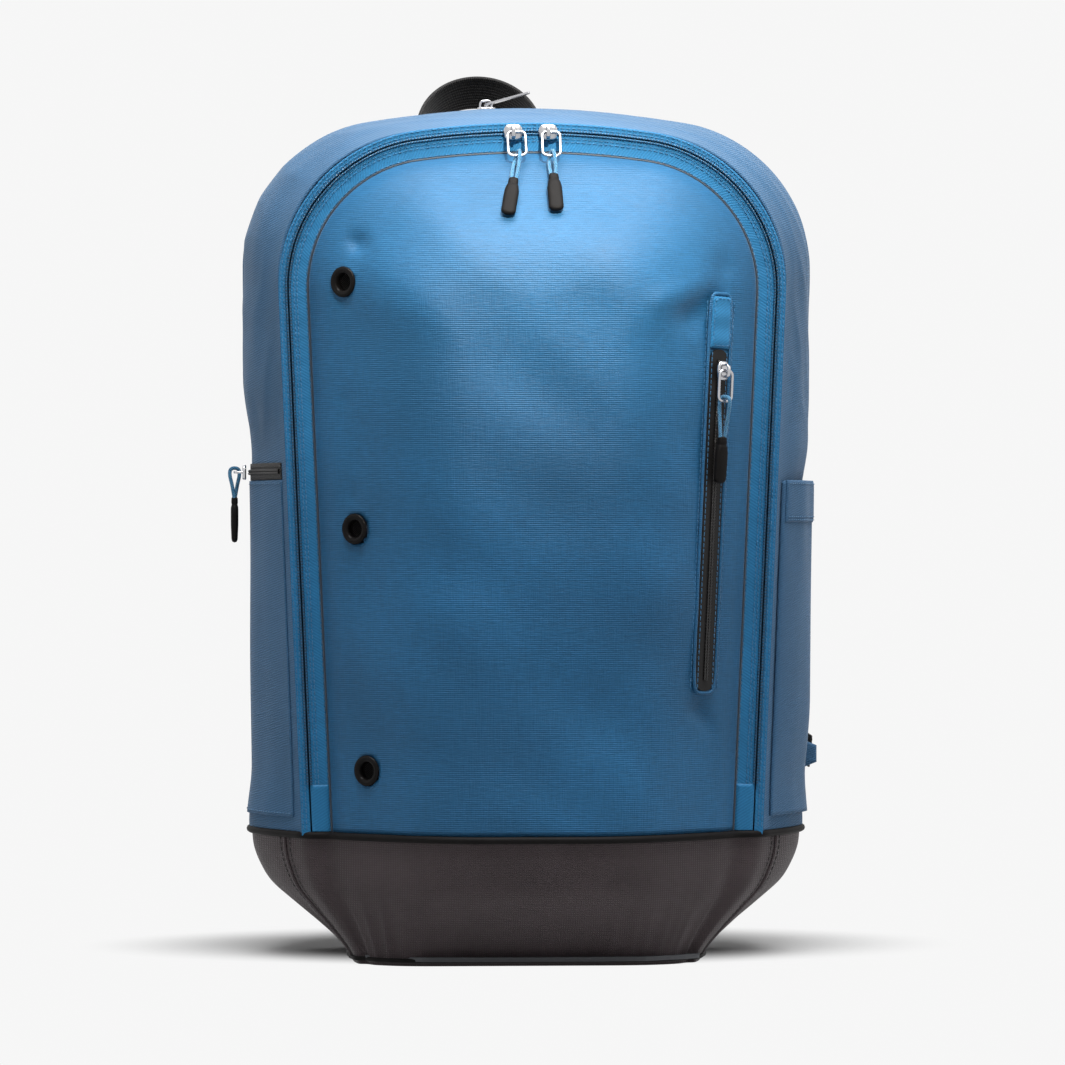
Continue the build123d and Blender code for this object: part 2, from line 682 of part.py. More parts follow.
def ladder_lock(side):
    """Moulded buckle at the strap's lower end, with two slots for the webbing."""
    y = strap_back - lock_thick / 2
    face = RectangleRounded(lock_width, lock_height, 3.0)
    slot = Rectangle(lock_width - 6, lock_slot)
    slots = Pos(0, lock_height / 4) * slot + Pos(0, -lock_height / 4) * slot
    body = extrude(face - slots, amount=lock_thick / 2, both=True)
    return Location(Plane(origin=(side * strap_end_x, y, lock_z), x_dir=(1, 0, 0), z_dir=(0, -1, 0))) * body


def handle_patch():
    """Ends of the handle webbing, folded and sewn to the top of the back panel inside the loop's legs."""
    ears = None
    for end in (-1, 1):
        x = handle_x + end * (handle_span / 2 - 2 * webbing - gap - ear_thick / 2)
        ear = Pos(x, panel_back + ear_deep / 2, handle_root_z - 3.0) * Box(ear_thick, ear_deep, 12.0)
        ears = ear if ears is None else ears + ear
    return ears


def depth_shift(nodes):
    """How far to move the bag so that its origin lies under the middle of its box, cords left out."""
    boxes = [solid.bounding_box() for name, solid in nodes.items() if "cord" not in name]
    return -(min(box.min.Y for box in boxes) + max(box.max.Y for box in boxes)) / 2


parts, cord_lengths = build_parts()
shift_y = depth_shift(parts)
os.makedirs("parts", exist_ok=True)
for node, solid in parts.items():
    export_step(Pos(0, shift_y, 0) * solid, f"parts/{node}.step")

for cord, length in cord_lengths.items():
    section = pi * cord_diameter**2 / 4
    ratio = parts[cord].volume / (section * length)
    print(cord, "length", round(length, 1), "volume ratio", round(ratio, 3))
for name, drop in {**main_drops, "pocket": pocket_drop, "side": side_drop}.items():
    print("bend radii", name, [round(radius, 1) for radius in bend_radii(tag_route(drop))])
print("depth shift", round(shift_y, 3), "nodes", len(parts))
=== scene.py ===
"""Racket backpack: cloth shells, zips, hardware, straps, camera and light, laid out as an add-on."""
import bmesh
import bpy
import json
import math
import mathutils
import numpy as np
from bpy.props import FloatProperty, FloatVectorProperty, IntProperty, PointerProperty
from bpy.types import Operator, Panel, PropertyGroup
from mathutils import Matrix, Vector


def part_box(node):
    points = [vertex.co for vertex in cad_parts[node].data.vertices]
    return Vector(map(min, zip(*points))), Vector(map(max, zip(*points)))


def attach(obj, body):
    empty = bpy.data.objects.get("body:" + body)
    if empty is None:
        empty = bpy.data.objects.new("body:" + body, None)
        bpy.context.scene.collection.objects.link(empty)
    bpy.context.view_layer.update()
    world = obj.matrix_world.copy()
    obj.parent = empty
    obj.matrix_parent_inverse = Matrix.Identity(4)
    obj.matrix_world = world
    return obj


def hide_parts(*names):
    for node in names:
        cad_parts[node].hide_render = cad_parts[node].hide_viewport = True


bl_info = {
    "name": "Racket backpack",
    "version": (1, 0, 0),
    "blender": (4, 5, 0),
    "location": "View3D > Sidebar > Backpack",
    "description": "Builds the visible pieces of a racket backpack around its measured frame",
    "category": "Add Mesh",
}

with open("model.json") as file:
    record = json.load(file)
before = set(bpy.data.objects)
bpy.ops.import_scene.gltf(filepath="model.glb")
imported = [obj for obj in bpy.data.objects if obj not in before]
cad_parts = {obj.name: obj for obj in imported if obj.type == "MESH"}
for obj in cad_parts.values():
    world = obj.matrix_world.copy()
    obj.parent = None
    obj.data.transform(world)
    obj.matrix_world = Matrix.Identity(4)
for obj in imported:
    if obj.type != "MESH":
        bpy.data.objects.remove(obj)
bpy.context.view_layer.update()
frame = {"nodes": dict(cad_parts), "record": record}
JOINTS = {joint["name"]: joint for joint in frame["record"]["behaviour"]["joints"]}


def mm(value):
    """Millimetres as metres."""
    return value * 0.001


# ---- sizes and colours a user would change ----

def length(name, text, value):
    """A length that a user can change, given in millimetres."""
    return FloatProperty(name=name, description=text, default=mm(value), subtype="DISTANCE", unit="LENGTH")


def colour(name, text, value):
    """A colour that a user can change."""
    return FloatVectorProperty(name=name, description=text, subtype="COLOR", size=3, min=0.0, max=1.0, default=value)


class BagSizes(PropertyGroup):
    zip_half_low: length("Zip half width, low", "Half width of the zip line at the base seam", 126.5)
    zip_half_high: length("Zip half width, high", "Half width of the zip line at the shoulders", 143)
    zip_top: length("Zip top", "Height of the zip line at the middle", 476)
    crown: length("Crown radius", "Radius of the shallow arch along the top", 468)
    shoulder: length("Shoulder radius", "Radius of the round top corners", 85)
    zip_gap: length("Zip gap", "Half of the gap between the two tapes", 0.5)
    panel_tape: length("Panel tape", "Width of tape beside the front panel", 11)
    bag_tape: length("Bag tape", "Width of tape beside the gusset", 5)
    puff: length("Gusset puff", "How far the gusset swells out above the side pockets", 5)
    rib: length("Rib pitch", "Pitch of the ribs woven into the front panel", 1.15)
    stitch: length("Stitch length", "Length of one stitch with its gap", 3.2)
    outline_steps: IntProperty(name="Outline steps", description="Grid steps along the arched outline",
                               default=360, min=60, max=800)


class BagColours(PropertyGroup):
    panel: colour("Front panel", "Main colour of the ribbed front cloth", (0.016, 0.106, 0.232))
    gusset: colour("Gusset", "Twill of the gusset and side pockets", (0.045, 0.115, 0.215))
    tape: colour("Zip tape", "Brighter woven tape round the panel", (0.019, 0.150, 0.320))
    base: colour("Base", "Charcoal coated cloth", (0.052, 0.040, 0.043))
    black: colour("Black", "Webbing, piping and moulded pieces", (0.013, 0.012, 0.012))
    lining: colour("Lining", "Thin lining inside", (0.110, 0.115, 0.125))
    metal: colour("Metal", "Polished plated zip hardware", (0.50, 0.50, 0.52))
    cord: colour("Cord", "Braided pull cord", (0.030, 0.150, 0.280))


def sizes():
    """Sizes of this bag."""
    return bpy.context.scene.bag_sizes


def colours():
    """Colours of this bag."""
    return bpy.context.scene.bag_colours


# ---- arrays to meshes ----

def new_piece(name, vertices, faces, material, uv=None):
    """Mesh object from whole arrays of vertices and quads."""
    mesh = bpy.data.meshes.new(name)
    mesh.from_pydata(vertices.reshape(-1, 3).tolist(), [], faces)
    mesh.polygons.foreach_set("use_smooth", np.ones(len(mesh.polygons), dtype=bool))
    if uv is not None:
        layer = mesh.uv_layers.new(name="along")
        corners = np.empty(len(mesh.loops), dtype=np.int64)
        mesh.loops.foreach_get("vertex_index", corners)
        layer.data.foreach_set("uv", uv.reshape(-1, 2)[corners].astype(np.float32).ravel())
    mesh.validate()
    piece = bpy.data.objects.new(name, mesh)
    bpy.context.collection.objects.link(piece)
    mesh.materials.append(material)
    return piece


def grid_faces(rows, columns, wrap_rows=False, wrap_columns=False, flip=False):
    """Quads of a rows-by-columns grid, closed round either way where asked."""
    i = np.arange(rows if wrap_rows else rows - 1)[:, None]
    j = np.arange(columns if wrap_columns else columns - 1)[None, :]
    i2, j2 = (i + 1) % rows, (j + 1) % columns
    quads = np.stack([i * columns + j, i2 * columns + j, i2 * columns + j2, i * columns + j2], axis=-1)
    quads = quads.reshape(-1, 4)
    return (quads[:, ::-1] if flip else quads).tolist()


def grid_piece(name, grid, material, wrap_rows=False, wrap_columns=False, flip=False, uv=None):
    """A surface given as a rows x columns x 3 array of points."""
    rows, columns = grid.shape[:2]
    faces = grid_faces(rows, columns, wrap_rows, wrap_columns, flip)
    return new_piece(name, grid, faces, material, uv=uv)


def outward_faces(piece, merge=None):
    """Merge corners nearer than a distance, where one is given, then make the faces point outwards."""
    work = bmesh.new()
    work.from_mesh(piece.data)
    if merge:
        bmesh.ops.remove_doubles(work, verts=work.verts, dist=merge)
    bmesh.ops.recalc_face_normals(work, faces=work.faces)
    work.to_mesh(piece.data)
    work.free()
    return piece


def face_out(piece, centre):
    """Turn a skin so that its faces look away from a centre on the whole."""
    mesh = piece.data
    count = len(mesh.polygons)
    normals, centres, areas = np.empty(count * 3), np.empty(count * 3), np.empty(count)
    mesh.polygons.foreach_get("normal", normals)
    mesh.polygons.foreach_get("center", centres)
    mesh.polygons.foreach_get("area", areas)
    away = centres.reshape(-1, 3) - np.array(centre)
    if np.sum(np.sum(normals.reshape(-1, 3) * away, axis=1) * areas) < 0:
        mesh.flip_normals()
    return piece


def solidify(piece, thickness, offset=-1.0):
    """Give a sheet its cloth thickness; offset -1 grows it inwards, away from its normals."""
    modifier = piece.modifiers.new("thickness", "SOLIDIFY")
    modifier.thickness = thickness
    modifier.offset = offset
    modifier.use_rim = True
    return piece


def ride(piece, body, nodes=()):
    """Piece moves with a body and stands for its nodes."""
    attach(piece, body)
    if nodes:
        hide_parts(*nodes)
    return piece


def unit(vectors):
    """Vectors scaled to length one."""
    return vectors / np.maximum(np.linalg.norm(vectors, axis=-1, keepdims=True), 1e-12)


def tangents(path, closed=False):
    """Direction of a path at each of its points."""
    if closed:
        return unit(np.roll(path, -1, axis=0) - np.roll(path, 1, axis=0))
    return unit(np.gradient(path, axis=0))


def stacked(*arrays):
    """Arrays broadcast to one shape and set side by side."""
    return np.stack(np.broadcast_arrays(*arrays), axis=-1)


def run_along(path):
    """Distance along a path at each of its points."""
    return np.concatenate([[0], np.cumsum(np.linalg.norm(np.diff(path, axis=0), axis=1))])


def sampled(at, run, values):
    """Rows of values, known at the distances run, read off at other distances."""
    return np.stack([np.interp(at, run, column) for column in values.T], axis=-1)


def squared(value, power):
    """Cosine or sine drawn towards the corners of its square, as a superellipse has it."""
    return np.sign(value) * np.abs(value)**power


def round_angles(count):
    """Angles evenly spaced round a circle."""
    return np.linspace(0, 2 * np.pi, count, endpoint=False)


def sweep(path, profile, out, closed=False):
    """Profile (x along out, y across) carried along a path; out gives the outward direction at each point."""
    along = tangents(path, closed)
    outward = unit(out - along * np.sum(out * along, axis=1, keepdims=True))
    across = np.cross(along, outward)
    return (path[:, None, :] + outward[:, None, :] * profile[None, :, 0:1]
            + across[:, None, :] * profile[None, :, 1:2])


def ring_profile(radius_out, radius_across, count=12):
    """Ellipse as a profile."""
    a = round_angles(count)
    return np.stack([radius_out * np.cos(a), radius_across * np.sin(a)], axis=-1)


def smoothstep(low, high, value):
    """Nought below low, one above high, and an even rise between."""
    x = np.clip((value - low) / (high - low), 0, 1)
    return x * x * (3 - 2 * x)


def through(x, xs, ys):
    """Smooth curve through a few stations: cubic pieces whose slopes are those of the neighbours' chords."""
    xs, ys = np.asarray(xs, float), np.asarray(ys, float)
    slopes = np.gradient(ys, xs)
    k = np.clip(np.searchsorted(xs, x) - 1, 0, len(xs) - 2)
    h = xs[k + 1] - xs[k]
    u = np.clip((x - xs[k]) / h, 0, 1)
    return ((2 * u**3 - 3 * u**2 + 1) * ys[k] + (u**3 - 2 * u**2 + u) * h * slopes[k]
            + (3 * u**2 - 2 * u**3) * ys[k + 1] + (u**3 - u**2) * h * slopes[k + 1])


# ---- outlines of the bag ----

SEAM_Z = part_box("base_shell")[1][2]
ZIP_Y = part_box("panel_zip_tape")[0][1]
FOOT_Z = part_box("front_panel")[0][2]
ZIP_END_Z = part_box("zip_end_tab_left")[1][2]
BACK_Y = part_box("back_panel")[0][1]
DIVIDER_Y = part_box("gusset")[1][1]
BODY_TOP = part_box("gusset")[1][2]
CROWN_PART, SHOULDER_PART = 0.16, 0.28     # shares of half the outline's t
TOOTH_PITCH = mm(1.7)
MIDDLE = (0, 0, mm(250))     # a point inside the bag that its skins look away from
MERGE = mm(0.001)
EYELETS = ((21.0, 389.0), (21.0, 249.0), (21.5, 112.0))    # distance from the panel's edge, height


def arch(t, low, high, top, corner, foot):
    """Arched outline, t from 0 at the left foot to 1 at the right foot.

    Half of it is a crown arc about a centre far below, then a shoulder arc that touches the crown arc and
    the side line, then the straight side down to the foot. The shoulder's centre is where a line set in by
    the shoulder's radius meets a circle whose radius is the crown's less the shoulder's.
    """
    radius = sizes().crown
    eave = top - radius + np.sqrt(radius**2 - high**2)
    length = np.hypot(high - low, eave - SEAM_Z)
    dx, dz = (high - low) / length, (eave - SEAM_Z) / length
    qx, qz = high - corner * dz, eave + corner * dx - (top - radius)
    b = qx * dx + qz * dz
    tau = -b + np.sqrt(b**2 - (qx**2 + qz**2 - (radius - corner)**2))
    cx, cz = qx + tau * dx, qz + tau * dz + top - radius
    start = np.arctan2(cx, cz - top + radius)
    end = np.arctan2(dz, -dx)
    ax, az = cx + corner * np.sin(end), cz + corner * np.cos(end)
    fx = low + (foot - SEAM_Z) * dx / dz
    u = 2 * np.abs(t - 0.5)
    crown = np.clip(u / CROWN_PART, 0, 1)
    bend = np.clip((u - CROWN_PART) / SHOULDER_PART, 0, 1)
    side = np.clip((u - CROWN_PART - SHOULDER_PART) / (1 - CROWN_PART - SHOULDER_PART), 0, 1)
    turn = start + (end - start) * bend
    x = np.where(u < CROWN_PART, radius * np.sin(start * crown), cx + corner * np.sin(turn))
    z = np.where(u < CROWN_PART, top - radius + radius * np.cos(start * crown), cz + corner * np.cos(turn))
    x = np.where(side > 0, ax + (fx - ax) * side, x)
    z = np.where(side > 0, az + (foot - az) * side, z)
    return x * np.sign(t - 0.5), z


def zip_outline(t, grow, foot):
    """Outline of the main zip, grown outwards by grow."""
    s = sizes()
    return arch(t, s.zip_half_low + grow, s.zip_half_high + grow, s.zip_top + grow, s.shoulder + grow, foot)


def panel_inset():
    """How far the front panel's edge lies inside the zip line."""
    return sizes().zip_gap + sizes().panel_tape


def crown_depth(d):
    """How far the front panel stands out at a distance d from its edge.

    A steep rolled rim, then an even flank, then a curve that levels off in the middle.
    """
    rim, flank, level = mm(12), mm(36), mm(88)
    slope = 0.8
    at_rim = mm(10) + slope * (rim - mm(5))
    u = np.clip(d / rim, 0, 1)
    rolled = (u**3 - 2 * u**2 + u) * rim * 2.1 + (3 * u**2 - 2 * u**3) * at_rim + (u**3 - u**2) * rim * slope
    straight = at_rim + slope * (d - rim)
    e = np.clip(d, flank, level) - flank
    curved = at_rim + slope * (flank - rim) + slope * e - slope * e**2 / (2 * (level - flank))
    return np.where(d < rim, rolled, np.where(d < flank, straight, curved))


def body_half(y, z, puffed=True, x=-1.0):
    """Half width at the seam and shoulders, and the top, of the bag at depth y.

    Puffed, it swells above the side pockets, from lower down on the open pocket's side (x above nought).
    """
    s = sizes()
    grow = s.zip_gap + s.bag_tape
    wide_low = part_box("gusset")[1][0] - mm(3)
    wide_high = wide_low + mm(3)
    ys = np.array([ZIP_Y + mm(1.2), DIVIDER_Y - mm(58), DIVIDER_Y - mm(33), DIVIDER_Y, BACK_Y])
    low = through(y, ys, [s.zip_half_low + grow, *(wide_low - mm(1) * np.array([9, 0, 1.2, 12]))])
    high = through(y, ys, [s.zip_half_high + grow, *(wide_high - mm(1) * np.array([4.5, 0, 1.2, 12]))])
    top = through(y, ys, [s.zip_top + grow, *(BODY_TOP - mm(1) * np.array([5, 1, 0, 10]))])
    if puffed:
        start = np.where(np.asarray(x) > 0, mm(262), mm(292))
        swell = s.puff * smoothstep(start, start + mm(44), z) + mm(3) * (1 - smoothstep(mm(78), mm(112), z))
        swell = swell * smoothstep(ZIP_Y, ZIP_Y + mm(40), y) * (1 - 0.7 * smoothstep(DIVIDER_Y, BACK_Y, y))
        low, high = low + swell, high + swell
    return low, high, top


# ---- materials ----

def node(tree, kind, inputs=None, **settings):
    """Add a shader node, set its options, then set or link its inputs."""
    added = tree.nodes.new(kind)
    for key, value in settings.items():
        setattr(added, key, value)
    for key, value in (inputs or {}).items():
        if isinstance(value, tuple) and len(value) == 2 and hasattr(value[0], "outputs"):
            tree.links.new(value[0].outputs[value[1]], added.inputs[key])
        else:
            added.inputs[key].default_value = value
    return added


def fresh(name, colour_value, roughness, **shader):
    """New material with its Principled shader's plain values set."""
    material = bpy.data.materials.new(name)
    material.use_nodes = True
    tree = material.node_tree
    surface = tree.nodes["Principled BSDF"]
    surface.inputs["Base Color"].default_value = (*colour_value, 1)
    surface.inputs["Roughness"].default_value = roughness
    for key, value in shader.items():
        surface.inputs[key.replace("_", " ").title().replace("Ior", "IOR")].default_value = value
    return material, tree, surface


def object_space(tree, scale=(1, 1, 1), turn=(0, 0, 0)):
    """Object coordinates, turned and scaled."""
    where = node(tree, "ShaderNodeTexCoord")
    return node(tree, "ShaderNodeMapping", {"Vector": (where, "Object"), "Scale": scale, "Rotation": turn})


def along_space(tree, turn=(0, 0, 0)):
    """A piece's own map: U runs along it and V across it, both in metres."""
    where = node(tree, "ShaderNodeTexCoord")
    return node(tree, "ShaderNodeMapping", {"Vector": (where, "UV"), "Rotation": turn})


def wave(tree, place, pitch, direction="X", distortion=0.0):
    """Bands whose pitch is given in the mapped unit."""
    values = {"Vector": (place, "Vector"), "Scale": math.pi / 10 / pitch, "Distortion": distortion, "Detail": 1.0,
              "Detail Scale": 1.2}
    return node(tree, "ShaderNodeTexWave", values, wave_type="BANDS", bands_direction=direction)


def noise(tree, place, scale, detail=3.0, rough=0.55):
    """Cloudy pattern of a given scale."""
    values = {"Vector": (place, "Vector"), "Scale": scale, "Detail": detail, "Roughness": rough}
    return node(tree, "ShaderNodeTexNoise", values)


def math_node(tree, operation, *values):
    """One sum on two or three values or links."""
    return node(tree, "ShaderNodeMath", dict(enumerate(values)), operation=operation)


def map_range(tree, value, inputs, **settings):
    """A value carried from one range to another."""
    return node(tree, "ShaderNodeMapRange", {"Value": value, **inputs}, **settings)


def shade(value, factor):
    """A colour made darker or paler."""
    return tuple(min(channel * factor, 1.0) for channel in value)


def finish_cloth(tree, surface, height, factor, dark, light, depth, strength=1.0):
    """Colour from a factor between two shades, and bump from a height in metres times depth."""
    ramp = node(tree, "ShaderNodeMix", {"Factor": factor, 6: (*dark, 1), 7: (*light, 1)}, data_type="RGBA")
    tree.links.new(ramp.outputs[2], surface.inputs["Base Color"])
    bump = node(tree, "ShaderNodeBump", {"Height": height, "Strength": strength, "Distance": depth})
    tree.links.new(bump.outputs["Normal"], surface.inputs["Normal"])


def worn_tint(tree, height, scale, detail, low, high):
    """Height times a cloud of wear, spread from nought to one."""
    cloud = noise(tree, object_space(tree), scale, detail)
    worn = math_node(tree, "MULTIPLY", height, (cloud, "Fac"))
    return map_range(tree, (worn, 0), {"From Min": low, "From Max": high}), "Result"


def panel_cloth(name, main):
    """Ribbed cloth: level slub threads of uneven thickness over finer upright threads, with a soft shine."""
    material, tree, surface = fresh(name, main, 0.50, sheen_weight=0.17, sheen_roughness=0.34,
                                    sheen_tint=(0.80, 0.90, 1.0, 1), specular_ior_level=0.24)
    slub = noise(tree, object_space(tree, (150, 150, 900)), 1.0, 2.0, 0.6)
    rib = wave(tree, object_space(tree), sizes().rib, "Z", 0.6)
    upright = noise(tree, object_space(tree, (1300, 1300, 90)), 1.0, 1.0)
    threads = math_node(tree, "MULTIPLY_ADD", (rib, "Fac"), 0.45, (slub, "Fac"))
    height = math_node(tree, "MULTIPLY_ADD", (upright, "Fac"), 0.6, (threads, 0))
    tint = worn_tint(tree, (height, 0), 9.0, 2.0, 0.30, 0.85)
    finish_cloth(tree, surface, (height, 0), tint, shade(main, 0.70), shade(main, 1.14), mm(0.26), 0.8)
    return material


def twill_cloth(name, main):
    """Smooth twill: fine slanting lines, with faint clouds of wear."""
    material, tree, surface = fresh(name, main, 0.60, sheen_weight=0.14, sheen_roughness=0.35,
                                    sheen_tint=(0.75, 0.85, 1.0, 1), specular_ior_level=0.12)
    slant = object_space(tree, turn=(0, math.radians(24), math.radians(18)))
    lines = wave(tree, slant, mm(1.25), "Z", 1.2)
    fine = noise(tree, object_space(tree, (700, 700, 700)), 1.0, 1.0)
    height = math_node(tree, "ADD", (lines, "Fac"), (fine, "Fac"))
    tint = worn_tint(tree, (height, 0), 14.0, 4.0, 0.2, 0.9)
    finish_cloth(tree, surface, (height, 0), tint, shade(main, 0.82), shade(main, 1.18), mm(0.18), 0.7)
    return material


def base_cloth(name, main):
    """Coated charcoal cloth: a small crossed weave, rubbed paler in places."""
    material, tree, surface = fresh(name, main, 0.56, sheen_weight=0.10, sheen_roughness=0.5, specular_ior_level=0.18)
    across = wave(tree, object_space(tree), mm(1.3), "X", 0.8)
    up = wave(tree, object_space(tree), mm(1.3), "Z", 0.8)
    rub = noise(tree, object_space(tree), 22.0, 5.0)
    crumple = noise(tree, object_space(tree, (1, 1, 2.4)), 60.0, 3.0)
    weave = math_node(tree, "MULTIPLY", (across, "Fac"), (up, "Fac"))
    height = math_node(tree, "MULTIPLY_ADD", (crumple, "Fac"), 2.2, (weave, 0))
    rubbed = math_node(tree, "MULTIPLY_ADD", (weave, 0), 0.5, (rub, "Fac"))
    tint = map_range(tree, (rubbed, 0), {"From Min": 0.35, "From Max": 1.0}), "Result"
    finish_cloth(tree, surface, (height, 0), tint, shade(main, 0.8), shade(main, 1.3), mm(0.28), 0.8)
    return material


def tape_cloth(name, main):
    """Herringbone tape: slanting ribs that run across its width."""
    material, tree, surface = fresh(name, main, 0.52, sheen_weight=0.10, specular_ior_level=0.15)
    ribs = wave(tree, along_space(tree, turn=(0, 0, math.radians(32))), mm(1.5), "X", 0.4)
    fine = noise(tree, object_space(tree), 900.0, 1.0)
    height = math_node(tree, "ADD", (ribs, "Fac"), (fine, "Fac"))
    tint = worn_tint(tree, (height, 0), 18.0, 3.0, 0.2, 0.85)
    finish_cloth(tree, surface, (height, 0), tint, shade(main, 0.88), shade(main, 1.2), mm(0.12), 0.6)
    return material


def coil_nylon(name, main):
    """Zip coil: rounded teeth side by side, coloured darker in the gaps between them as painted shade."""
    material, tree, surface = fresh(name, main, 0.38, specular_ior_level=0.5)
    teeth = wave(tree, along_space(tree), TOOTH_PITCH)
    # the tooth wave sets the colour as well as the bump: darker in the gaps between teeth, as painted shade
    finish_cloth(tree, surface, (teeth, "Fac"), (teeth, "Fac"), shade(main, 0.35), shade(main, 1.3), mm(0.6))
    return material


def webbing_weave(name, main):
    """Ribbed webbing: heavy ribs along it, cut by the cross threads."""
    material, tree, surface = fresh(name, main, 0.55, sheen_weight=0.08, sheen_roughness=0.4, specular_ior_level=0.18)
    ribs = wave(tree, along_space(tree), mm(2.2), "Y")
    picks = wave(tree, along_space(tree, turn=(0, 0, math.radians(12))), mm(1.3), "X", 0.5)
    height = math_node(tree, "MULTIPLY", (ribs, "Fac"), (picks, "Fac"))
    cloud = noise(tree, object_space(tree), 60.0, 3.0)
    tint = math_node(tree, "MULTIPLY", (height, 0), (cloud, "Fac"))
    finish_cloth(tree, surface, (height, 0), (tint, 0), shade(main, 0.6), shade(main, 1.9), mm(0.5))
    return material


def spacer_mesh(name, main):
    """Air mesh: small open cells over foam."""
    material, tree, surface = fresh(name, main, 0.75, sheen_weight=0.3, specular_ior_level=0.25)
    cells = node(tree, "ShaderNodeTexVoronoi", {"Vector": (object_space(tree), "Vector"), "Scale": 420.0})
    fine = noise(tree, object_space(tree), 25.0, 2.0)
    finish_cloth(tree, surface, (cells, "Distance"), (fine, "Fac"), shade(main, 0.8), shade(main, 2.2), mm(1.2))
    return material


def lining_cloth(name, main):
    """Thin lining with a small woven grid."""
    material, tree, surface = fresh(name, main, 0.7, specular_ior_level=0.3)
    across = wave(tree, object_space(tree), mm(4), "X", 0.3)
    up = wave(tree, object_space(tree), mm(4), "Z", 0.3)
    grid = math_node(tree, "MAXIMUM", (across, "Fac"), (up, "Fac"))
    cloud = noise(tree, object_space(tree), 12.0, 3.0)
    finish_cloth(tree, surface, (grid, 0), (cloud, "Fac"), shade(main, 0.85), shade(main, 1.2), mm(0.2), 0.6)
    return material


def moulded_rubber(name, main, roughness):
    """Moulded black: a fine matt grain with handling marks."""
    material, tree, surface = fresh(name, main, roughness, specular_ior_level=0.06)
    grain = noise(tree, object_space(tree), 1400.0, 2.0)
    marks = noise(tree, object_space(tree), 120.0, 4.0)
    finish_cloth(tree, surface, (grain, "Fac"), (marks, "Fac"), shade(main, 0.5), shade(main, 1.1), mm(0.12), 0.6)
    return material


def plated_metal(name, main):
    """Polished plating with faint rub marks."""
    material, tree, surface = fresh(name, main, 0.17, metallic=1.0)
    marks = noise(tree, object_space(tree, (1, 1, 3)), 500.0, 3.0)
    rough = map_range(tree, (marks, "Fac"), {"To Min": 0.10, "To Max": 0.30})
    tree.links.new(rough.outputs["Result"], surface.inputs["Roughness"])
    bump = node(tree, "ShaderNodeBump", {"Height": (marks, "Fac"), "Strength": 0.25, "Distance": mm(0.1)})
    tree.links.new(bump.outputs["Normal"], surface.inputs["Normal"])
    return material


def thread(name, main):
    """Sewing thread with a fine twist."""
    material, tree, surface = fresh(name, main, 0.5, sheen_weight=0.2, specular_ior_level=0.4)
    twist = noise(tree, object_space(tree), 1500.0, 1.0)
    finish_cloth(tree, surface, (twist, "Fac"), (twist, "Fac"), shade(main, 0.7), shade(main, 1.2), mm(0.1), 0.5)
    return material


def braided_cord(name, main):
    """Braid: two sets of strands that cross round the cord, coloured darker in the grooves between strands as painted
    shade.
    """
    material, tree, surface = fresh(name, main, 0.5, sheen_weight=0.25, specular_ior_level=0.4)
    one = wave(tree, object_space(tree, turn=(0.5, 0.7, 0.2)), mm(0.9), "Z")
    two = wave(tree, object_space(tree, turn=(-0.5, -0.7, 0.2)), mm(0.9), "Z")
    braid = math_node(tree, "MAXIMUM", (one, "Fac"), (two, "Fac"))
    # the braid height sets the colour as well as the bump: darker in the grooves, as painted shade
    finish_cloth(tree, surface, (braid, 0), (braid, 0), shade(main, 0.55), shade(main, 1.35), mm(0.4))
    return material


def finish(name):
    """The finish of that name, made the first time it is asked for."""
    if name in bpy.data.materials:
        return bpy.data.materials[name]
    c = colours()
    maker, *values = {
        "panel_cloth": (panel_cloth, c.panel),
        "gusset_twill": (twill_cloth, c.gusset),
        "base_cloth": (base_cloth, c.base),
        "zip_tape_weave": (tape_cloth, c.tape),
        "lining_cloth": (lining_cloth, c.lining),
        "air_mesh": (spacer_mesh, c.black),
        "plated_metal": (plated_metal, c.metal),
        "braided_cord": (braided_cord, c.cord),
        "black_webbing": (webbing_weave, c.black),
        "black_zip_tape": (webbing_weave, c.black),
        "black_zip_coil": (coil_nylon, shade(c.black, 1.6)),
        "zip_coil_nylon": (coil_nylon, shade(c.tape, 0.8)),
        "black_moulding": (moulded_rubber, shade(c.black, 0.7), 0.5),
        "glossy_moulding": (moulded_rubber, shade(c.black, 0.7), 0.2),
        "piping_cord": (moulded_rubber, shade(c.black, 0.8), 0.55),
        # near-black tube at the panel's edge: painted shade of the seam groove beside the tape
        "panel_edge_thread": (thread, shade(c.panel, 0.12)),
        "blue_thread": (thread, shade(c.tape, 0.9)),
        "black_thread": (thread, shade(c.black, 1.6)),
    }[name]
    return maker(name, *values)


# ---- cloth of the bag ----

def creases(x, z):
    """Soft folds pressed into the panel: each is a ridge along a short line, in height and reach."""
    folds = [(-118, 421, -101, 411, 6, 2.6), (-116, 398, -108, 393, 5, -1.8), (-117, 382, -110, 378, 5, 1.6),
             (119, 404, 88, 370, 9, 3.6), (112, 392, 72, 378, 8, -2.2), (121, 372, 104, 362, 6, 1.6),
             (97, 160, 118, 140, 5, -1.4), (92, 146, 114, 124, 5, 1.6), (-120, 330, -108, 322, 5, 1.2),
             (-121, 262, -106, 268, 6, 1.3), (-60, 458, 40, 462, 5, 1.0), (60, 455, 100, 436, 7, -1.6)]
    depth = np.zeros_like(x)
    for x0, z0, x1, z1, reach, height in folds:
        dx, dz = mm(x1 - x0), mm(z1 - z0)
        u = np.clip(((x - mm(x0)) * dx + (z - mm(z0)) * dz) / (dx * dx + dz * dz), 0, 1)
        gap = np.hypot(x - mm(x0) - u * dx, z - mm(z0) - u * dz)
        depth += mm(height) * np.exp(-(gap / mm(reach))**2)
    return depth


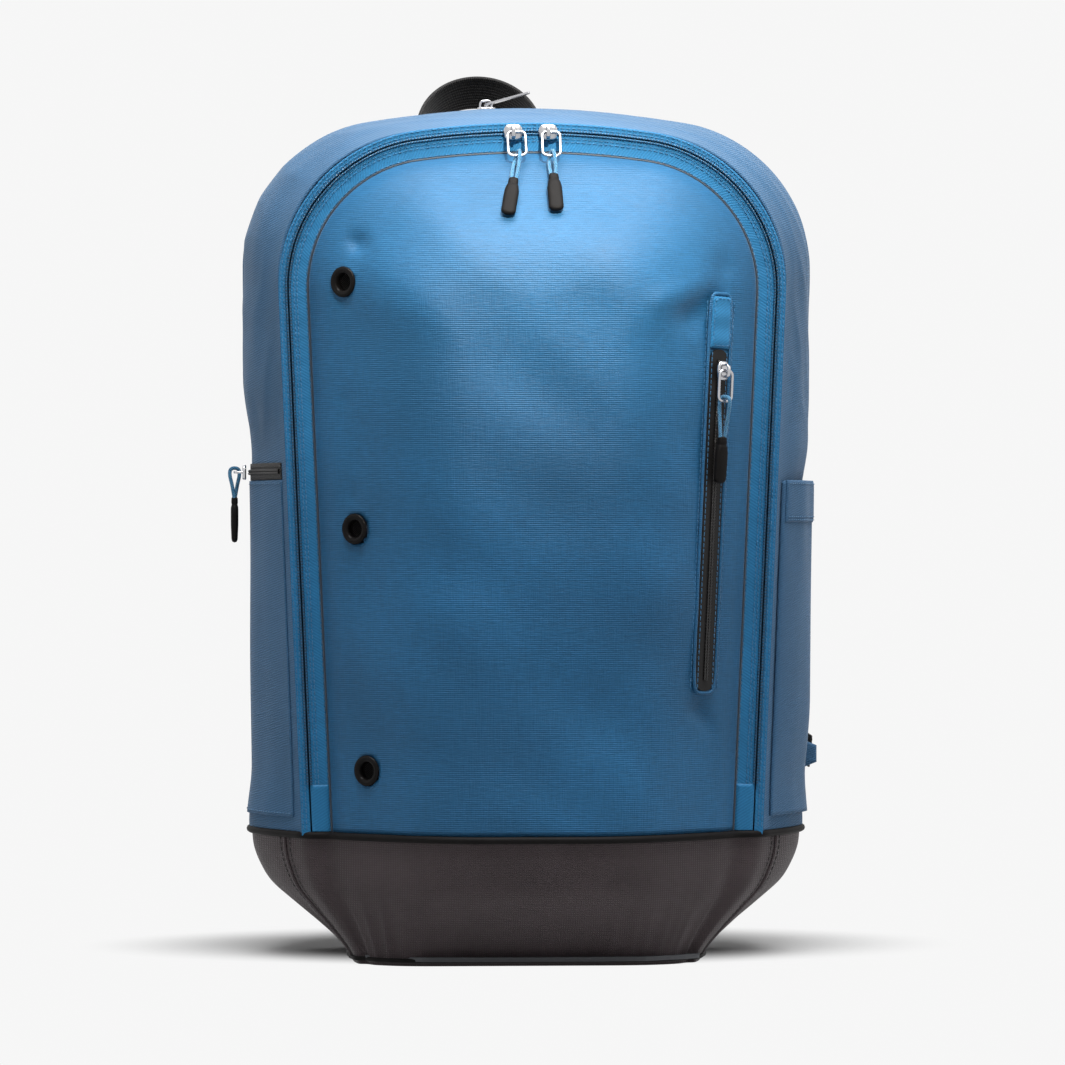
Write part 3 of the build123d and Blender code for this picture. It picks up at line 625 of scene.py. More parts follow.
def rumple(x, z, height, seed):
    """Broad shallow waves: a few seeded sine waves of 40 to 160 mm added together."""
    source = np.random.default_rng(seed)
    total = np.zeros_like(x)
    for _ in range(9):
        length, turn, phase = source.uniform(0.04, 0.16), source.uniform(0, np.pi), source.uniform(0, 6.3)
        total += np.sin((x * np.cos(turn) + z * np.sin(turn)) * 2 * np.pi / length + phase) / 9
    return total * height * 2


def panel_point(t, d_share):
    """Point of the crowned panel: d_share runs from 0 at its edge to 1 at the spine.

    The spine is the panel's middle line up to a height, and each point of the edge above that looks to its top.
    Folds press in at full depth and stand out at little more than half of it.
    """
    edge_x, edge_z = zip_outline(t, -panel_inset(), FOOT_Z)
    spine_z = np.minimum(edge_z, sizes().zip_top - mm(131))
    d = np.hypot(edge_x, spine_z - edge_z) * d_share
    x = edge_x * (1 - d_share)
    z = edge_z + (spine_z - edge_z) * d_share
    settle = smoothstep(mm(10), mm(26), d) * smoothstep(FOOT_Z, FOOT_Z + mm(16), z)
    relief = (1.7 * creases(x, z) + rumple(x, z, mm(1.5), 3)) * settle
    y = ZIP_Y - crown_depth(d) + np.where(relief > 0, relief, relief * 0.6)
    return np.stack([x, y, z], axis=-1)


def punch(piece, centres, radius):
    """Take out the faces whose corners lie within a radius of any centre."""
    work = bmesh.new()
    work.from_mesh(piece.data)
    points = np.array([vertex.co[:] for vertex in work.verts])
    near = np.min(np.linalg.norm(points[:, None] - np.array(centres)[None], axis=2), axis=1) < radius
    bmesh.ops.delete(work, geom=[vertex for vertex, out in zip(list(work.verts), near) if out], context="VERTS")
    work.to_mesh(piece.data)
    work.free()


def front_panel_skin():
    """Crowned panel: lines run from the zip outline in to the spine, and its depth follows crown_depth."""
    t = np.linspace(0, 1, sizes().outline_steps + 1)[:, None]
    share = np.concatenate([np.linspace(0, 0.16, 16, endpoint=False), np.linspace(0.16, 1, 56)])[None, :]
    skin = grid_piece("front_panel_cloth", panel_point(t, share), finish("panel_cloth"))
    punch(skin, [flank(-1, mm(inset), mm(z))[0] for inset, z in EYELETS], mm(6.0))
    face_out(outward_faces(skin, mm(0.05)), MIDDLE)
    solidify(skin, mm(1.6))
    return ride(skin, "front_flap", ("front_panel",))


def outline_path(grow, y, foot, steps=900):
    """Points along a grown zip outline at depth y, evenly spaced, with their outward directions."""
    x, z = zip_outline(np.linspace(0, 1, steps), grow, foot)
    run = run_along(np.stack([x, z], axis=-1))
    even = np.linspace(0, run[-1], steps)
    path = np.stack([np.interp(even, run, x), np.full(steps, y), np.interp(even, run, z)], axis=-1)
    along = tangents(path)
    outward = np.stack([-along[:, 2], np.zeros(steps), along[:, 0]], axis=-1)
    outward *= np.sign(np.sum(outward * (path - np.array([0, y, mm(280)])), axis=1))[:, None]
    return path, outward, even


def tape_band(name, inner, outer, foot, body, node_name, wave_height):
    """Woven tape between two grown outlines, with a slight ripple across it."""
    path, outward, run = outline_path((inner + outer) / 2, ZIP_Y, foot)
    v = np.linspace(-0.5, 0.5, 9)
    grid = path[:, None, :] + outward[:, None, :] * (v * (outer - inner))[None, :, None]
    curl = wave_height * np.sin(run * 2 * np.pi / mm(37)) * np.sin(run * 2 * np.pi / mm(23) + 1.0)
    grid[:, :, 1] += np.abs(curl)[:, None] * np.cos(v * np.pi)[None, :] + mm(0.05)
    uv = stacked(run[:, None], (v * (outer - inner))[None, :])
    band = grid_piece(name, grid, finish("zip_tape_weave"), uv=uv)
    solidify(band, mm(1.0))
    return ride(band, body, (node_name,))


def toothed_tube(name, path, out, radius, material, steps=None):
    """Zip teeth: a rounded tube whose girth swells at each tooth."""
    run = run_along(path)
    even = np.linspace(0, run[-1], steps or int(run[-1] / TOOTH_PITCH * 4))
    path, out = sampled(even, run, path), unit(sampled(even, run, out))
    grid = sweep(path, ring_profile(radius, radius, 6), out)
    swell = 0.72 + 0.28 * np.cos(even * 2 * np.pi / TOOTH_PITCH)
    grid = path[:, None, :] + (grid - path[:, None, :]) * swell[:, None, None]
    uv = stacked(even[:, None], np.zeros(6)[None, :])
    return outward_faces(grid_piece(name, grid, material, wrap_columns=True, uv=uv))


def half_coil(name, grow, body, node_name):
    """Row of the main zip's teeth, beside its line."""
    path, outward, _ = outline_path(grow, ZIP_Y - mm(0.5), ZIP_END_Z, steps=2600)
    coil = toothed_tube(name, path, outward, mm(0.9), finish("zip_coil_nylon"), len(path))
    return ride(coil, body, (node_name,))


def capsules(name, centres, along, out, length, width, height, material):
    """Many small stitches: each is a flattened six-sided bead, set by its centre and two directions."""
    stations = np.array([-0.5, -0.36, 0.36, 0.5])
    girth = np.array([0.25, 1.0, 1.0, 0.25])
    a = round_angles(6)
    side = np.cross(along, out)
    ring = (stations[None, :, None, None] * length * along[:, None, None, :]
            + (girth[:, None] * np.cos(a))[None, :, :, None] * width / 2 * side[:, None, None, :]
            + (girth[:, None] * np.sin(a))[None, :, :, None] * height / 2 * out[:, None, None, :])
    grid = centres[:, None, None, :] + ring
    tube = np.array(grid_faces(4, 6, wrap_columns=True))
    caps = np.array([[0, 1, 2, 3], [0, 3, 4, 5], [21, 20, 19, 18], [23, 22, 21, 18]])
    faces = np.concatenate([tube, caps])[None] + 24 * np.arange(len(centres))[:, None, None]
    return outward_faces(new_piece(name, grid, faces.reshape(-1, 4).tolist(), material))


def stitch_row(path, out):
    """Even stitch centres along a path, with their directions; out is one direction or one for each point."""
    out = np.broadcast_to(out, path.shape)
    run = run_along(path)
    pitch = sizes().stitch
    places = np.arange(pitch / 2, run[-1], pitch)
    return (sampled(places, run, path), unit(sampled(places, run, tangents(path))),
            unit(sampled(places, run, out)))


def stitches(name, rows, body, length=mm(2.4), height=mm(0.5), width=mm(0.5), material="blue_thread"):
    """One piece of several stitch rows."""
    centres, along, outs = (np.concatenate(part) for part in zip(*rows))
    piece = capsules(name, centres, along, outs, length, width, height, finish(material))
    return ride(piece, body, ())


def zip_stitching(name, grows, body, foot):
    """Stitch rows along the main zip at several distances from its line."""
    rows = [stitch_row(outline_path(grow, ZIP_Y - mm(0.12), foot)[0], (0.0, -1.0, 0.0)) for grow in grows]
    return stitches(name, rows, body, sizes().stitch * 0.78, width=mm(0.55))


def panel_edge_shade_welt():
    """Dark tube at the sewn edge where the panel cloth turns under beside the tape: its near-black colour is painted
    shade of the groove there.
    """
    path, outward, run = outline_path(-panel_inset() - mm(0.4), ZIP_Y - mm(0.9), FOOT_Z)
    grid = sweep(path, ring_profile(mm(0.8), mm(0.7), 8), outward)
    uv = stacked(run[:, None], np.zeros(8)[None, :])
    welt = grid_piece("panel_edge_shade_welt", grid, finish("panel_edge_thread"), wrap_columns=True, uv=uv)
    return ride(outward_faces(welt), "front_flap", ())


def zip_end_tab(side):
    """Folded tab of tape over the zip's end: a rounded pillow over the lowest stretch of the tape."""
    name = "left" if side < 0 else "right"
    low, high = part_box("zip_end_tab_" + name)
    inner = outline_path(-panel_inset() + mm(0.4), ZIP_Y, FOOT_Z)[0]
    outer = outline_path(-mm(0.4), ZIP_Y, FOOT_Z)[0]
    z = np.linspace(low[2] + mm(0.3), high[2], 40)

    def edge(line):
        half = line[line[:, 0] * side > 0]
        order = np.argsort(half[:, 2])
        return np.interp(z, half[order, 2], half[order, 0])

    inner_x, outer_x = edge(inner), edge(outer)
    v = np.linspace(0, 1, 18)[None, :]
    x = inner_x[:, None] + (outer_x - inner_x)[:, None] * v
    round_off = np.clip(np.minimum(np.minimum(v, 1 - v) * 6, ((high[2] - z) / mm(1.6))[:, None]), 0, 1)
    y = ZIP_Y - mm(0.1) - mm(1.0) * np.sqrt(round_off)
    grid = stacked(x, y, z[:, None])
    tab = grid_piece("zip_end_fold_" + name, grid, finish("zip_tape_weave"), flip=side > 0,
                     uv=stacked(z[:, None], x))
    return ride(tab, "front_flap", ("zip_end_tab_" + name,))


def body_grid(y_from, y_to, rows, steps, foot, out=0.0):
    """Skin round the bag: each row is an arched outline at one depth, puffed and grown out by out."""
    y = np.linspace(y_from, y_to, rows)[:, None]
    t = np.linspace(0, 1, steps)[None, :]
    plain = body_half(y, np.full_like(y * t, mm(200)), False)
    x, z = arch(t, *plain, sizes().shoulder, foot)
    push = body_half(y, z, True, x)[0] - plain[0]
    weight = smoothstep(0.15, 0.75, np.abs(unit(np.stack([x, z - MIDDLE[2]], axis=-1))[..., 0]))
    x = x + np.sign(x) * push * weight
    z = z + push * 0.25 * (1 - weight) * smoothstep(mm(60), mm(110), np.abs(x))
    grid = stacked(x, y, z)
    normal = unit(np.cross(np.gradient(grid, axis=1), np.gradient(grid, axis=0)))
    outward = normal * np.sign(np.sum(normal * (grid - np.array(MIDDLE)), axis=-1, keepdims=True))
    return grid + outward * out, outward


def gusset_skin():
    """Gusset of twill: it swells above the side pockets and pulls in at its seams, with soft folds."""
    grid, outward = body_grid(ZIP_Y + mm(1.0), DIVIDER_Y - mm(0.4), 60, 420, SEAM_Z + mm(0.3))
    x, y, z = grid[..., 0], grid[..., 1], grid[..., 2]
    settle = smoothstep(ZIP_Y + mm(4), ZIP_Y + mm(24), y) * smoothstep(DIVIDER_Y, DIVIDER_Y - mm(18), y)
    above_pocket = smoothstep(mm(292), mm(320), z)
    soft = rumple(y * 1.6 + 3, z + x * 0.6, mm(1.1), 11) * settle * above_pocket
    grid = grid - outward * np.abs(soft)[..., None]
    skin = grid_piece("gusset_cloth", grid, finish("gusset_twill"))
    face_out(skin, MIDDLE)
    solidify(skin, mm(1.8))
    return ride(skin, "bag", ("gusset",))


def rear_gusset_skin():
    """Gusset of the rear compartment, drawn in towards the back panel."""
    grid, _ = body_grid(DIVIDER_Y + mm(0.5), BACK_Y - mm(0.2), 26, 380, SEAM_Z + mm(0.3))
    skin = grid_piece("rear_gusset_cloth", grid, finish("gusset_twill"))
    face_out(skin, MIDDLE)
    solidify(skin, mm(1.8))
    return ride(skin, "bag", ("rear_gusset",))


def seam_welts():
    """Piped seams round the bag: one where the two gussets meet and one at the back panel."""
    for name, depth, radius, finish_name, slot in (
            ("divider_seam_welt", DIVIDER_Y + mm(0.1), mm(1.1), "gusset_twill", "gusset_fabric"),
            ("back_seam_welt", BACK_Y - mm(0.4), mm(2.0), "black_webbing", "piping")):
        grid, outward = body_grid(depth - mm(1), depth + mm(1), 3, 500, SEAM_Z + mm(1), mm(0.4))
        tube = sweep(grid[1], ring_profile(radius, radius, 8), outward[1])
        uv = stacked(run_along(grid[1])[:, None], (np.arange(8) * mm(1))[None, :])
        welt = grid_piece(name, tube, finish(finish_name), wrap_columns=True, uv=uv)
        ride(outward_faces(welt), "bag", ())


# ---- base ----

BASE_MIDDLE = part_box("base_shell")[1][1] - mm(53)
BASE_TOP = SEAM_Z - mm(0.2)


def seam_curve(count=520):
    """Closed plan of the base seam: under the panel, out over the tape, along the gussets, across the back.

    The corner points are joined, spaced evenly and smoothed by a short running mean; index 0 is the front middle.
    """
    low = float(zip_outline(1.0, -panel_inset(), SEAM_Z)[0])
    d = np.linspace(low, 0, 70)
    front = np.stack([low - d, ZIP_Y - crown_depth(d)], axis=-1)
    y = np.linspace(ZIP_Y + mm(1.2), BACK_Y, 60)
    sides = np.stack([body_half(y, np.full_like(y, SEAM_Z))[0] - mm(1.5), y], axis=-1)
    back = np.stack([np.linspace(sides[-1, 0], 0, 30)[1:], np.full(29, BACK_Y)], axis=-1)
    right = np.concatenate([front, sides, back])
    ring = np.concatenate([right, (right * [-1, 1])[::-1][1:-1]])
    ring = np.vstack([ring, ring[:1]])
    run = run_along(ring)
    plan = sampled(np.linspace(0, run[-1], count, endpoint=False), run, ring)
    for _ in range(3):
        plan = sum(np.roll(plan, step, 0) for step in (2, 1, 0, -1, -2)) / 5
    return plan


def base_footprint(plan):
    """Where each seam point comes down on the floor: a smaller, squarer plan."""
    (_, front, _), (wide, back, _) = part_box("base_shell")
    fullness = 1.8
    x = mm(101) * (1 - (1 - np.clip(np.abs(plan[:, 0]) / wide, 0, 1))**fullness) * np.sign(plan[:, 0])
    ahead = np.clip((BASE_MIDDLE - plan[:, 1]) / (BASE_MIDDLE - front), 0, 1)
    behind = np.clip((plan[:, 1] - BASE_MIDDLE) / (back - BASE_MIDDLE), 0, 1)
    y = BASE_MIDDLE - mm(99) * (1 - (1 - ahead)**fullness) + mm(47) * behind
    return np.stack([x - mm(5) * ahead, y], axis=-1)


def base_share(z):
    """How far the plan has shrunk to the footprint at height z."""
    heights = mm(1) * np.array([0, 6, 20, 32, 44, 54, 63, 74])
    return through(z, heights, [1, 0.93, 0.67, 0.42, 0.19, 0.085, 0.025, 0])


def base_grid(z):
    """Base surface at heights z: seam plan blended to the footprint, with slack folds low down."""
    plan = seam_curve()
    foot = base_footprint(plan)
    share = base_share(z)[:, None, None]
    level = plan[None] + (foot - plan)[None] * share
    index = np.arange(len(plan))
    ripple = np.sin(index * 0.21) * np.sin(index * 0.047 + 1) + 0.6 * np.sin(index * 0.39 + 2)
    low = smoothstep(mm(46), mm(16), z) * smoothstep(mm(1), mm(6), z)
    level = level * (1 - 0.009 * low[:, None, None] * np.abs(ripple)[None, :, None])
    return np.concatenate([level, np.broadcast_to(z[:, None, None], level.shape[:2] + (1,))], axis=-1)


def base_skin():
    """Charcoal tub: rows from the seam down to the floor, then rows that close on the middle of the floor."""
    z = np.concatenate([np.linspace(BASE_TOP, mm(2), 40), [mm(0.9), mm(0.3), 0.0]])
    walls = base_grid(z)
    centre = np.array([0.0, BASE_MIDDLE, 0.0])
    floor = centre + (walls[-1] - centre)[None] * np.array([0.98, 0.8, 0.5, 0.2, 0.0])[:, None, None]
    skin = grid_piece("base_cloth_tub", np.concatenate([walls, floor]), finish("base_cloth"), wrap_columns=True)
    face_out(outward_faces(skin, MERGE), (0, 0, mm(60)))
    solidify(skin, mm(1.6))
    return ride(skin, "bag", ("base_shell",))


def base_piping(name, z, radius, out, nodes):
    """Piping round the base at height z, set out from its cloth."""
    level = base_grid(np.array([min(z, BASE_TOP)]))[0]
    level[:, 2] = z
    along = tangents(level, True)
    outward = np.stack([along[:, 1], -along[:, 0], np.zeros(len(level))], axis=-1)
    outward *= np.sign(np.sum(outward * level))
    tube = sweep(level + outward * out, ring_profile(radius, radius, 10), outward, True)
    piping = grid_piece(name, tube, finish("piping_cord"), wrap_rows=True, wrap_columns=True)
    ride(outward_faces(piping), "bag", nodes)


def base_trim():
    """Corded piping in the seam, piping round the foot, and the base's own slanting seams with their stitches."""
    base_piping("seam_piping", SEAM_Z + mm(0.1), mm(2.1), mm(1.0), ("base_piping",))
    base_piping("foot_piping", mm(3.2), mm(1.3), mm(0.6), ())
    grid = base_grid(np.linspace(BASE_TOP - mm(1), mm(3.5), 60))
    plan = grid[0]
    rows = []
    for side, name in ((-1, "left"), (1, "right")):
        start = int(np.argmin(np.abs(plan[:, 1] - (ZIP_Y + mm(20))) + np.where(plan[:, 0] * side > 0, 0, 1)))
        line = grid[:, start]
        outward = unit((line - [0, BASE_MIDDLE, 0]) * [1, 1, 0])
        tube = sweep(line + outward * mm(0.3), ring_profile(mm(0.9), mm(1.5), 8), outward)
        seam = grid_piece("base_corner_seam_" + name, tube, finish("base_cloth"), wrap_columns=True)
        ride(outward_faces(seam), "bag", ())
        for shift in (-3, 3):
            line = grid[:, start + shift]
            outward = unit((line - [0, BASE_MIDDLE, 0]) * [1, 1, 0])
            rows.append(stitch_row(line + outward * mm(0.25), outward))
    stitches("base_stitches", rows, "bag", material="black_thread")


# ---- side pockets and zips on the gusset ----

def side_point(side, y, z, out):
    """Point on one side of the bag: the side line's half width at depth y and height z, plus out."""
    low, high, top = body_half(y, z)
    eave = BODY_TOP - sizes().crown + np.sqrt(sizes().crown**2 - high**2)
    half = low + (high - low) * (z - SEAM_Z) / (eave - SEAM_Z)
    return stacked(side * (half + out), y, z)


def side_patch(name, side, y, z, out, material, nodes, thickness, body="bag"):
    """Cloth patch on one side of the bag over a grid of depths y and heights z."""
    y, z = np.meshgrid(y, z)
    grid = side_point(side, y, z, out(y, z))
    uv = np.stack([y, z], axis=-1)
    patch = grid_piece(name, grid, material, uv=uv)
    face_out(patch, (0, 0, mm(180)))
    solidify(patch, thickness)
    return ride(patch, body, nodes)


def side_pockets():
    """Flat zipped pocket on the left; on the right an open pouch, whose mouth hangs a little slack."""
    y_front, y_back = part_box("side_pocket_right")[0][1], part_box("side_pocket_right")[1][1]
    z_low, z_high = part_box("side_pocket_right")[0][2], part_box("side_pocket_right")[1][2]
    y = np.linspace(y_front, y_back, 60)
    z = np.linspace(z_low, z_high, 90)

    def pouch(y, z):
        u = (y - y_front) / (y_back - y_front)
        v = (z - z_low) / (z_high - z_low)
        belly = np.sin(np.clip(u, 0, 1) * np.pi)**0.5 * (0.25 + 0.75 * smoothstep(0, 0.35, v))
        folds = 0.5 * np.sin(u * 17 + v * 3) * smoothstep(0.5, 0.95, v) * np.sin(u * np.pi)
        return mm(1.6) + mm(5.6) * belly + mm(1) * folds

    def flat(y, z):
        u = (y - y_front) / (y_back - y_front)
        v = (z - z_low) / (z_high - z_low)
        return mm(1.1) + mm(0.9) * np.sin(u * np.pi) * (0.6 + 0.4 * np.sin(v * 9 + u * 5))

    pieces = [side_patch("open_pocket_cloth", 1, y, z, pouch, finish("gusset_twill"), ("side_pocket_right",), mm(1.2)),
              side_patch("zipped_pocket_cloth", -1, y, z, flat, finish("gusset_twill"), ("side_pocket_left",), mm(0.9)),
              side_patch("open_pocket_hem", 1, y[1:-1], np.linspace(z_high - mm(24), z_high + mm(0.3), 24),
                         lambda y, z: pouch(y, z) + mm(1.0) * (1 - 0.5 * np.abs(2 * (z - z_high + mm(12)) / mm(24))**8),
                         finish("gusset_twill"), ("side_pocket_hem",), mm(0.9))]
    rows = []
    for lift in (-22.6, -20.8, -1.6):
        line = side_point(1, y[2:-2], np.full(len(y) - 4, z_high + mm(lift)), pouch(y[2:-2], np.full(len(y) - 4, z_high)) + mm(1.1))
        rows.append(stitch_row(line, np.tile([1.0, 0, 0], (len(line), 1))))
    for z_row in (z_high - mm(1.8), z_low + mm(2)):
        line = side_point(-1, y[1:-1], np.full(len(y) - 2, z_row), flat(y[1:-1], np.full(len(y) - 2, z_row)) + mm(0.15))
        rows.append(stitch_row(line, np.tile([-1.0, 0, 0], (len(line), 1))))
    centres, along, outs = (np.concatenate(part) for part in zip(*rows))
    pieces.append(ride(capsules("pocket_stitches", centres, along, outs, mm(2.4), mm(0.5), mm(0.5), finish("blue_thread")), "bag"))
    return pieces


def side_zip():
    """Black zip above the zipped pocket, level round the side."""
    low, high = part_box("side_zip_tape")
    y = np.linspace(low[1], high[1], 50)
    tape = side_patch("side_zip_band", -1, y, np.linspace(low[2], high[2], 10), lambda y, z: mm(0.9) + 0 * y,
                      finish("black_zip_tape"), ("side_zip_tape",), mm(0.7))
    middle = (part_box("side_zip_coil")[0][2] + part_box("side_zip_coil")[1][2]) / 2
    pieces = [tape]
    for shift, nodes in ((-0.75, ("side_zip_coil",)), (0.75, ())):
        line = side_point(-1, y[1:-1], np.full(len(y) - 2, middle + mm(shift)), mm(1.5) + 0 * y[1:-1])
        teeth = toothed_tube("side_zip_teeth_" + ("low" if shift < 0 else "high"), line,
                             np.tile([-1.0, 0, 0], (len(line), 1)), mm(0.8), finish("black_zip_coil"))
        pieces.append(ride(teeth, "bag", nodes))
    return pieces


def rear_zip():
    """Black zip round the rear compartment, over the top and down to its ends."""
    low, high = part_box("rear_zip_tape")
    foot = low[2]
    grid, _ = body_grid(low[1], high[1], 8, 420, foot, mm(0.7))
    run = run_along(grid[0])
    uv = stacked(run[None, :], grid[..., 1])
    band = face_out(grid_piece("rear_zip_band", grid, finish("black_zip_tape"), uv=uv), MIDDLE)
    solidify(band, mm(0.6))
    pieces = [ride(band, "bag", ("rear_zip_tape",))]
    middle = (low[1] + high[1]) / 2
    for shift, nodes in ((-0.75, ("rear_zip_coil",)), (0.75, ())):
        line, out = body_grid(middle + mm(shift - 0.5), middle + mm(shift + 0.5), 3, 600, foot + mm(4), mm(1.3))
        teeth = toothed_tube("rear_zip_teeth_" + ("front" if shift < 0 else "back"), line[1], out[1], mm(0.8), finish("black_zip_coil"))
        pieces.append(ride(teeth, "bag", nodes))
    return pieces


# ---- frames of the hardware ----

def basis(x, z):
    """Origin-free frame whose rows are the local X, Y and Z directions."""
    x, z = unit(np.array(x, float)), unit(np.array(z, float))
    y = np.cross(z, x)
    return np.stack([x, y / np.linalg.norm(y), z])


def tilt(axes, degrees):
    """Frame turned about its own X, so that what hangs from it swings out of the bag."""
    a = math.radians(degrees)
    x, y, z = axes
    return np.stack([x, math.cos(a) * y - math.sin(a) * z, math.sin(a) * y + math.cos(a) * z])


def sway(axes, degrees):
    """Frame turned about its own Z."""
    a = math.radians(degrees)
    x, y, z = axes
    return np.stack([math.cos(a) * x + math.sin(a) * y, -math.sin(a) * x + math.cos(a) * y, z])


def place(points, origin, axes):
    """Local millimetres to the bag's metres."""
    return np.asarray(origin) + (np.asarray(points, float) * 0.001) @ axes


def panel_half(inset, z):
    """Half width of the panel at height z, for an outline set in from its edge."""
    s = sizes()
    grow = -panel_inset() - inset
    eave = s.zip_top + grow - s.crown + math.sqrt(s.crown**2 - (s.zip_half_high + grow)**2)
    return s.zip_half_low + grow + (s.zip_half_high - s.zip_half_low) * (z - SEAM_Z) / (eave - SEAM_Z)


def flank(side, inset, z):
    """Origin and frame on the panel's even flank: Y runs up it and Z points out of it."""
    def rim(height):
        return np.array([side * panel_half(mm(5), height), ZIP_Y - mm(10), height])
    across = np.array([side * panel_half(mm(45), z), ZIP_Y - mm(42), z]) - rim(z)
    up = unit(rim(z + 0.05) - rim(z - 0.05))
    normal = unit(np.cross(across, up))
    normal = normal if normal[1] < 0 else -normal
    origin = rim(z) + across * ((inset - mm(5)) / mm(40)) + normal * mm(0.2)
    return origin, np.stack([np.cross(up, normal), up, normal])


# ---- hardware ----

EYE_Z = 3.773
DROP = 17.2


def joint_frame(name):
    """Point on a joint's axis, and the local X of what hangs on it."""
    joint = JOINTS[name]
    return np.array(joint["pos_m"]), -np.array(joint["axis"], float)


def slider_shell(name, origin, axes, width, length, along_x, room, body, node_name):
    """Cast zip slider: a shield-shaped body with rounded faces, and an arched bridge over it.

    The body is a stack of superellipses whose size follows a rounded edge; the bridge is a bar carried
    along a flattened arch.
    """
    a = round_angles(48)
    levels = np.array([[0.0, 0.86], [0.25, 0.97], [0.7, 1.0], [1.5, 1.0], [1.95, 0.95], [2.2, 0.82], [2.2, 0.4], [2.25, 0.0]])
    waist = 1 - 0.10 * np.cos(2 * a) * (np.sin(a) < 0) - 0.05 * np.sin(a)
    x = width / 2 * squared(np.cos(a), 0.62) * np.minimum(waist, 1)
    y = length / 2 * squared(np.sin(a), 0.7)
    rings = np.stack([levels[:, 1:2] * x, levels[:, 1:2] * y, np.broadcast_to(levels[:, 0:1], (len(levels), 48))], axis=-1)
    rings = np.concatenate([rings[:1] * [0, 0, 1], rings])
    shell = grid_piece(name + "_shell", place(rings, origin, axes), finish("plated_metal"), wrap_columns=True)
    outward_faces(shell, MERGE)
    turn = np.linspace(0, np.pi, 40)
    reach = (4.3 if along_x else 3.35)
    run = -reach * squared(np.cos(turn), 0.55)
    rise = 1.6 + (room + 1.3) * np.sin(turn)**0.5
    zero = np.zeros_like(run)
    path = np.stack([run, zero, rise] if along_x else [zero, run, rise], axis=-1)
    out = np.stack([run * 0.6, zero, rise + 1] if along_x else [zero, run * 0.6, rise + 1], axis=-1)
    corner = round_angles(16)
    bar = np.stack([0.68 * squared(np.cos(corner), 0.6),
                    1.15 * squared(np.sin(corner), 0.6)], axis=-1)
    if along_x:
        bar = bar * [1, 0.6]
    bridge = grid_piece(name + "_bridge", place(sweep(path, bar, out), origin, axes), finish("plated_metal"), wrap_columns=True)
    outward_faces(bridge)
    ride(shell, body, (node_name,))
    ride(bridge, body, ())


def wire_link(name, origin, axes, shift, body, node_name):
    """Oblong wire ring: a round bar carried along a rounded rectangle."""
    half_x, half_y, corner = 5.1, 8.6, 2.9
    a = np.linspace(0, np.pi / 2, 12)
    quarter = np.stack([half_x - corner + corner * np.cos(a), half_y - corner + corner * np.sin(a)], axis=-1)
    path = np.concatenate([quarter, (quarter * [-1, 1])[::-1], quarter * [-1, -1], (quarter * [1, -1])[::-1]])
    path = np.column_stack([path[:, 0] + shift, path[:, 1] - DROP / 2, np.zeros(len(path))])
    out = path - np.array([shift, -DROP / 2, 0])
    tube = sweep(path, ring_profile(0.88, 0.88, 14), out, True)
    ring = grid_piece(name, place(tube, origin, axes), finish("plated_metal"), wrap_rows=True, wrap_columns=True)
    return ride(outward_faces(ring), body, (node_name,))


def pull_moulding(name, origin, axes, drop, body, node_name):
    """Moulded pull: superellipse sections from a slim neck to a full rounded tongue, with a cord collar."""
    u = np.linspace(0, 1, 64)
    end = np.sqrt(np.clip(1 - np.clip((u - 0.88) / 0.12, 0, 1)**2.4, 0, 1))
    start = np.sqrt(np.clip(1 - (1 - np.clip(u / 0.05, 0, 1))**2, 0, 1))
    wide = (2.75 + 1.45 * smoothstep(0.03, 0.42, u)) * end * (0.7 + 0.3 * start) * start
    thick = (1.85 + 0.38 * smoothstep(0.0, 0.3, u) - 0.35 * smoothstep(0.55, 0.95, u)) * end**0.8 * start
    dip = 0.35 * np.exp(-((u - 0.18) / 0.035)**2)
    a = round_angles(32)
    cx = squared(np.cos(a), 0.72)
    cz = squared(np.sin(a), 0.72)
    rings = np.stack([(wide - dip)[:, None] * cx, np.broadcast_to((-drop - 27.0 * u)[:, None], (64, 32)),
                      (thick - dip)[:, None] * cz], axis=-1)
    pull = grid_piece(name, place(rings, origin, axes), finish("black_moulding"), wrap_columns=True)
    return ride(outward_faces(pull, 1e-7), body, (node_name,))


def pull_cord(name, origin, axes, drop, body, node_name):
    """Braided cord looped over its bar: the route's points as one smooth spline."""
    r, s = 3.266, 1.3
    end = -drop - 2.5
    route = [(-s, end, 0), (-s - 0.5, end / 2, -0.4 * r), (-s, -0.34 * r, -0.94 * r), (-0.6 * s, 0.77 * r, -0.7 * r),
             (0.6 * s, 0.77 * r, 0.7 * r), (s, -0.34 * r, 0.94 * r), (s + 0.4, end / 2, 0.35 * r), (s, end, 0)]
    points = place(route, origin, axes)
    curve = bpy.data.curves.new(name, "CURVE")
    curve.dimensions = "3D"
    line = curve.splines.new("NURBS")
    line.points.add(len(points) - 1)
    line.points.foreach_set("co", np.column_stack([points, np.ones(len(points))]).ravel())
    line.order_u = 3
    line.use_endpoint_u = True
    line.resolution_u = 10
    curve.bevel_depth = mm(1.1)
    curve.bevel_resolution = 5
    curve.use_fill_caps = True
    cord = bpy.data.objects.new(name, curve)
    bpy.context.collection.objects.link(cord)
    curve.materials.append(finish("braided_cord"))
    ride(cord, body, (node_name,))
    return cord


def hanging_tag(label, origin, axes, drop, body):
    """Moulded pull and its cord."""
    pull = pull_moulding(label + "_pull_moulding", origin, axes, drop, body, label + "_pull" if "main" not in label
                         else "main_pull_" + label.split("_")[1])
    return pull_cord(label + "_pull_cord", origin, axes, drop, body, label + "_cord" if "main" not in label
                     else "main_cord_" + label.split("_")[1])


